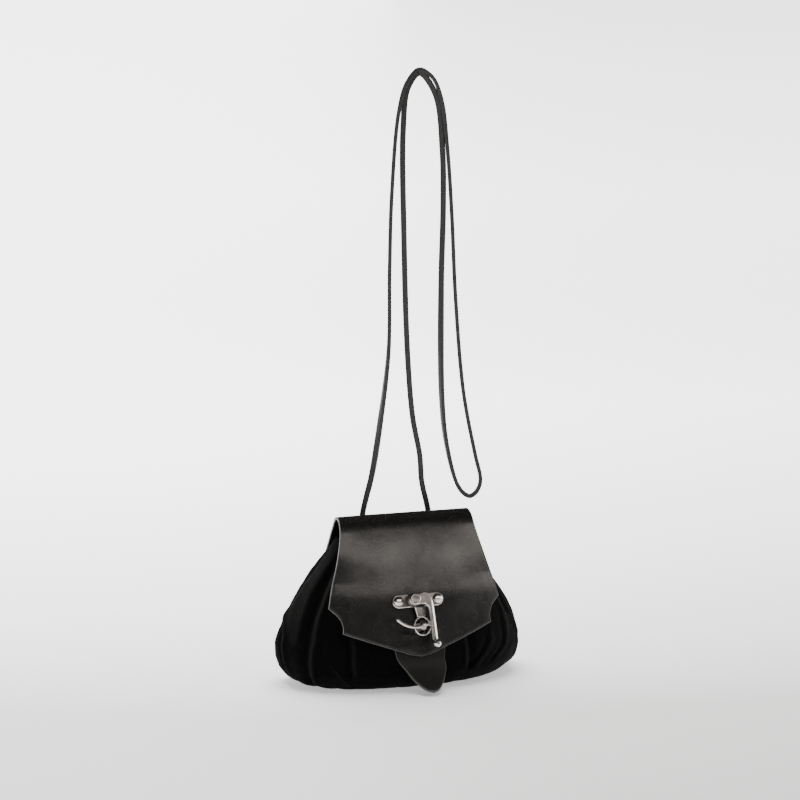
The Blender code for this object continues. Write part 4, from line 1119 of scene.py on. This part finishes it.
def pouch_folds(share, arc_at):
    """How far folds and the gathered hem lift the suede, in millimetres, and where the folds' ridges run, for the
    suede's painted highlight.
    """
    turn = np.arange(POUCH_TURNS) / POUCH_TURNS
    steps = np.concatenate([turn, [1.0]])
    lift = np.zeros((POUCH_ROWS, POUCH_TURNS))
    ridges = np.zeros((POUCH_ROWS, POUCH_TURNS))
    for way, high, width, dip, side, dip_width in FOLDS:
        line = np.array(way)[::-1]
        centre_turn = np.interp(share, line[:, 1], line[:, 0]) % 1.0
        fade = smooth_step((share - line[0, 1]) / 0.06 + 0.3) * smooth_step((line[-1, 1] - share) / 0.16)
        for row in np.flatnonzero(fade > 0.0):
            whole = arc_at[row, -1]
            centre = np.interp(centre_turn[row], steps, arc_at[row])
            away = 1000.0 * ((arc_at[row, :-1] - centre + whole / 2) % whole - whole / 2)
            ridge = np.exp(-(away / width) ** 2)
            lift[row] += fade[row] * (high * ridge - dip * np.exp(-((away - side) / dip_width) ** 2))
            # Marks where the suede's painted highlight runs along each ridge
            ridges[row] = np.maximum(ridges[row], fade[row] * np.exp(-(away / (0.4 * width)) ** 2))
    gathers = np.abs(np.sin(np.pi * arc_at[POUCH_ROWS // 8, :-1] / GATHER_LENGTH)) - 0.6
    to_left = np.exp(-((turn - 0.53) / 0.07) ** 2)
    lift += smooth_step((0.20 - share) / 0.15)[:, None] * (0.5 + 1.3 * to_left) * gathers
    return lift, ridges


def push_back(points, inner, side, under):
    """Moves points back behind a lining (y, z), set back further by side, as far as under says."""
    least = np.interp(points[..., 2], inner[:, 1], inner[:, 0]) + side
    points[..., 1] += np.maximum(0.0, least - points[..., 1]) * under


def keep_clear(points):
    """Moves the suede out of the flap's face, the tongue, the flap's back panel and the surface below."""
    steps = np.linspace(TONGUE_LEAVE, 0.0, 90)
    inner = np.array([tuple(face_point(along, -(LEATHER + 2 * GAP))[0]) for along in steps])
    aside = np.abs(points[..., 0])
    reach = np.clip((aside - FLAT_HALF_WIDTH) / (FLAP_HALF_WIDTH - FLAT_HALF_WIDTH), 0.0, 1.0)
    face = np.interp(points[..., 2], inner[:, 1], steps)
    bow = FLAP_BOW * reach ** 2 * np.minimum(1.0, face / (0.4 * FACE_LENGTH))
    eased = EASE_DEPTH * np.maximum(0.0, 1.0 - face / EASE_DOWN) ** 2
    under = smooth_step((FLAP_HALF_WIDTH + 0.006 - aside) / 0.006)
    under *= smooth_step((points[..., 2] - 0.006) / 0.034)
    push_back(points, inner, bow + eased, under)
    shares = np.linspace(1.0, 0.0, 120)
    lining = [tongue_place(0.0, TONGUE_LENGTH * share, -(LEATHER + 2 * GAP)) - BAG for share in shares]
    lining = np.array([(point.y, point.z) for point in lining])
    under = smooth_step((TONGUE_HALF_WIDTH + 0.008 - aside) / 0.007) * (points[..., 2] < lining[-1, 1])
    push_back(points, lining, 0.0, under)
    most = back_room(points[..., 2]) + 0.060 * smooth_step((np.abs(points[..., 0]) - 0.066) / 0.034)
    points[..., 1] = np.minimum(points[..., 1], most)
    points[..., 2] = np.maximum(points[..., 2], 0.0)


def pouch_shell(points, ridges):
    """The outer skin: rows of points and a closed base. A point attribute named ridge keeps the ridges, where the
    suede's painted highlight goes.
    """
    form = bmesh.new()
    layer = form.verts.layers.float.new("ridge")
    rings = []
    for row, marks in zip(points, ridges):
        rings.append([form.verts.new(BAG + Vector(point)) for point in row])
        for vertex, mark in zip(rings[-1], marks):
            vertex[layer] = mark
    base = rings[0]
    for part in (0.93, 0.8, 0.6, 0.35, 0.12):
        ring = [form.verts.new(BAG + Vector((p[0] * part, p[1] * part, 0.0))) for p in points[0]]
        band(form, ring, base)
        base = ring
    middle = form.verts.new(BAG)
    for k in range(POUCH_TURNS):
        form.faces.new((middle, base[(k + 1) % POUCH_TURNS], base[k]))
    for low, high in zip(rings, rings[1:]):
        band(form, low, high)
    return mesh_of(form)


def make_pouch():
    share, points, normal, arc_at = pouch_surface()
    lift, ridges = pouch_folds(share, arc_at)
    points = points + normal * lift[..., None] / 1000.0
    for row in range(POUCH_ROWS):
        for step in range(POUCH_TURNS):
            place = Vector(points[row, step])
            rough = 0.0006 * noise.noise(place * 55.0) + 0.00022 * noise.noise(place * 190.0)
            points[row, step] += normal[row, step] * rough
    keep_clear(points)
    shell = added("pouch shell", pouch_shell(points, ridges))
    wall = shell.modifiers.new("suede", "SOLIDIFY")
    wall.thickness = SUEDE
    wall.offset = -1.0
    pouch = finished("suede_pouch", plain_mesh(shell), black_suede(), "bag", ("pouch",), 60.0)


make_pouch()

# Studio: pale floor whose emission is painted light; soft lights in front of the flap, behind on the left, on the
# right and overhead
# Floor's emission, painted light, from far in front of the bag, 0, past the bag, 0.5, to far behind it, 1; its
# dip just in front of the bag is a painted shadow
FLOOR_PAINTED_LIGHT = (
    (0.00, 0.70), (0.15, 0.62), (0.25, 0.40), (0.36, 0.06), (0.47, 0.03), (0.502, 0.14), (0.616, 0.44),
    (0.70, 0.75), (0.85, 0.86), (0.97, 0.73),
)
FLOOR_STRENGTH = 5.0
FLOOR_RADIUS = 160.0


def make_floor():
    """Pale floor whose emission is painted light: darker in front of the bag as a painted shadow, brighter
    towards the back and the left.
    """
    form = bmesh.new()
    bmesh.ops.create_circle(form, cap_ends=True, segments=96, radius=FLOOR_RADIUS)
    bmesh.ops.translate(form, verts=form.verts, vec=(0.0, 0.0, BAG.z - 0.0004))
    mesh = bpy.data.meshes.new("floor")
    form.to_mesh(mesh)
    form.free()
    finish = Finish("pale floor", (0.55, 0.55, 0.555), 0.32, Specular_IOR_Level=0.35)
    here = finish.node("TexCoord", output=3)
    across = finish.node("SeparateXYZ", None, {"Vector": here})
    along = finish.node("SeparateXYZ", None, {"Vector": here}, output=1)
    depth = (along - BAG.y) * 0.94 + (across - BAG.x) * 0.34
    side = (across - BAG.x) * 0.94 - (along - BAG.y) * 0.34
    back = depth / (depth.sum("ABSOLUTE", depth) + 2.6)
    # Painted light along the floor's depth, with a painted shadow just in front of the bag
    painted_light = finish.node("ValToRGB", {"stops": FLOOR_PAINTED_LIGHT}, {"Fac": (back + 1) / 2})
    # Painted light: brighter towards the left of the bag
    tone = (painted_light - side / (side.sum("ABSOLUTE", side) + 0.6) * 0.18).limited()
    finish.set("Emission Color", finish.node("CombineColor", None, {0: tone, 1: tone, 2: tone * 1.012}))
    finish.set("Emission Strength", FLOOR_STRENGTH)
    mesh.materials.append(finish.material)
    added("floor", mesh)


def make_world():
    """Pale round the horizon, dark overhead."""
    world = bpy.data.worlds.new("studio")
    world.use_nodes = True
    tree = world.node_tree
    sky = tree.nodes["Background"]
    here = tree.nodes.new("ShaderNodeTexCoord")
    split = tree.nodes.new("ShaderNodeSeparateXYZ")
    ramp = tree.nodes.new("ShaderNodeValToRGB")
    stops = ramp.color_ramp.elements
    stops[0].position, stops[0].color = 0.0, (0.80, 0.80, 0.815, 1.0)
    stops[1].position, stops[1].color = 0.38, (0.030, 0.030, 0.031, 1.0)
    for place, shade in ((0.10, 0.60), (0.20, 0.20)):
        stop = stops.new(place)
        stop.color = (shade, shade, shade, 1.0)
    tree.links.new(here.outputs["Generated"], split.inputs["Vector"])
    tree.links.new(split.outputs["Z"], ramp.inputs["Fac"])
    tree.links.new(ramp.outputs["Color"], sky.inputs["Color"])
    bpy.context.scene.world = world


UP = Vector((0.0, 0.0, 1.0))


def soft_light(name, place, aim, size, brightness, colour=(1.0, 0.98, 0.96), mirrored=True, up=UP):
    """A rectangular light of a given brightness, which reflections may show, but not the camera."""
    back = (place - aim).normalized()
    across = up.cross(back).normalized()
    data = bpy.data.lights.new(name, "AREA")
    data.shape = "RECTANGLE"
    data.size, data.size_y = size
    data.energy = brightness * math.pi * size[0] * size[1]
    data.color = colour
    lamp = added(name, data)
    lamp.location = place
    lamp.rotation_euler = Matrix((across, back.cross(across), back)).transposed().to_euler()
    lamp.visible_camera = False
    lamp.visible_glossy = mirrored


def key_light():
    """The light whose reflection fills the upper half of the flap's face, level as the camera sees it there."""
    size = (0.80, 0.16)
    away = 0.46
    overlap = 0.014
    edge, out = face_point(0.055, 0.0)
    edge = BAG + Vector((0.0, *edge))
    normal = Vector((0.0, *out))
    camera = bpy.context.scene.camera
    ray = (edge - camera.location).normalized().reflect(normal)
    up = (camera.rotation_euler.to_matrix() @ Vector((0.0, 1.0, 0.0))).reflect(normal)
    up = ray.cross(up).normalized().cross(ray)
    middle = edge + ray * away + up * (size[1] / 2 - overlap)
    soft_light("key", middle, edge, size, 3.3, (1.0, 0.94, 0.875), up=up)


make_floor()
make_world()
key_light()
bag_middle = BAG + Vector((0.0, -0.05, 0.09))
soft_light("left", bag_middle + Vector((-1.27, 1.42, 0.64)), bag_middle, (1.0, 0.7), 6.0)
soft_light("right", bag_middle + Vector((2.2, -0.4, 0.55)), bag_middle, (1.3, 0.9), 3.5)
soft_light("overhead", bag_middle + Vector((0.0, 0.6, 1.8)), bag_middle, (1.8, 1.8), 17.0, mirrored=False)
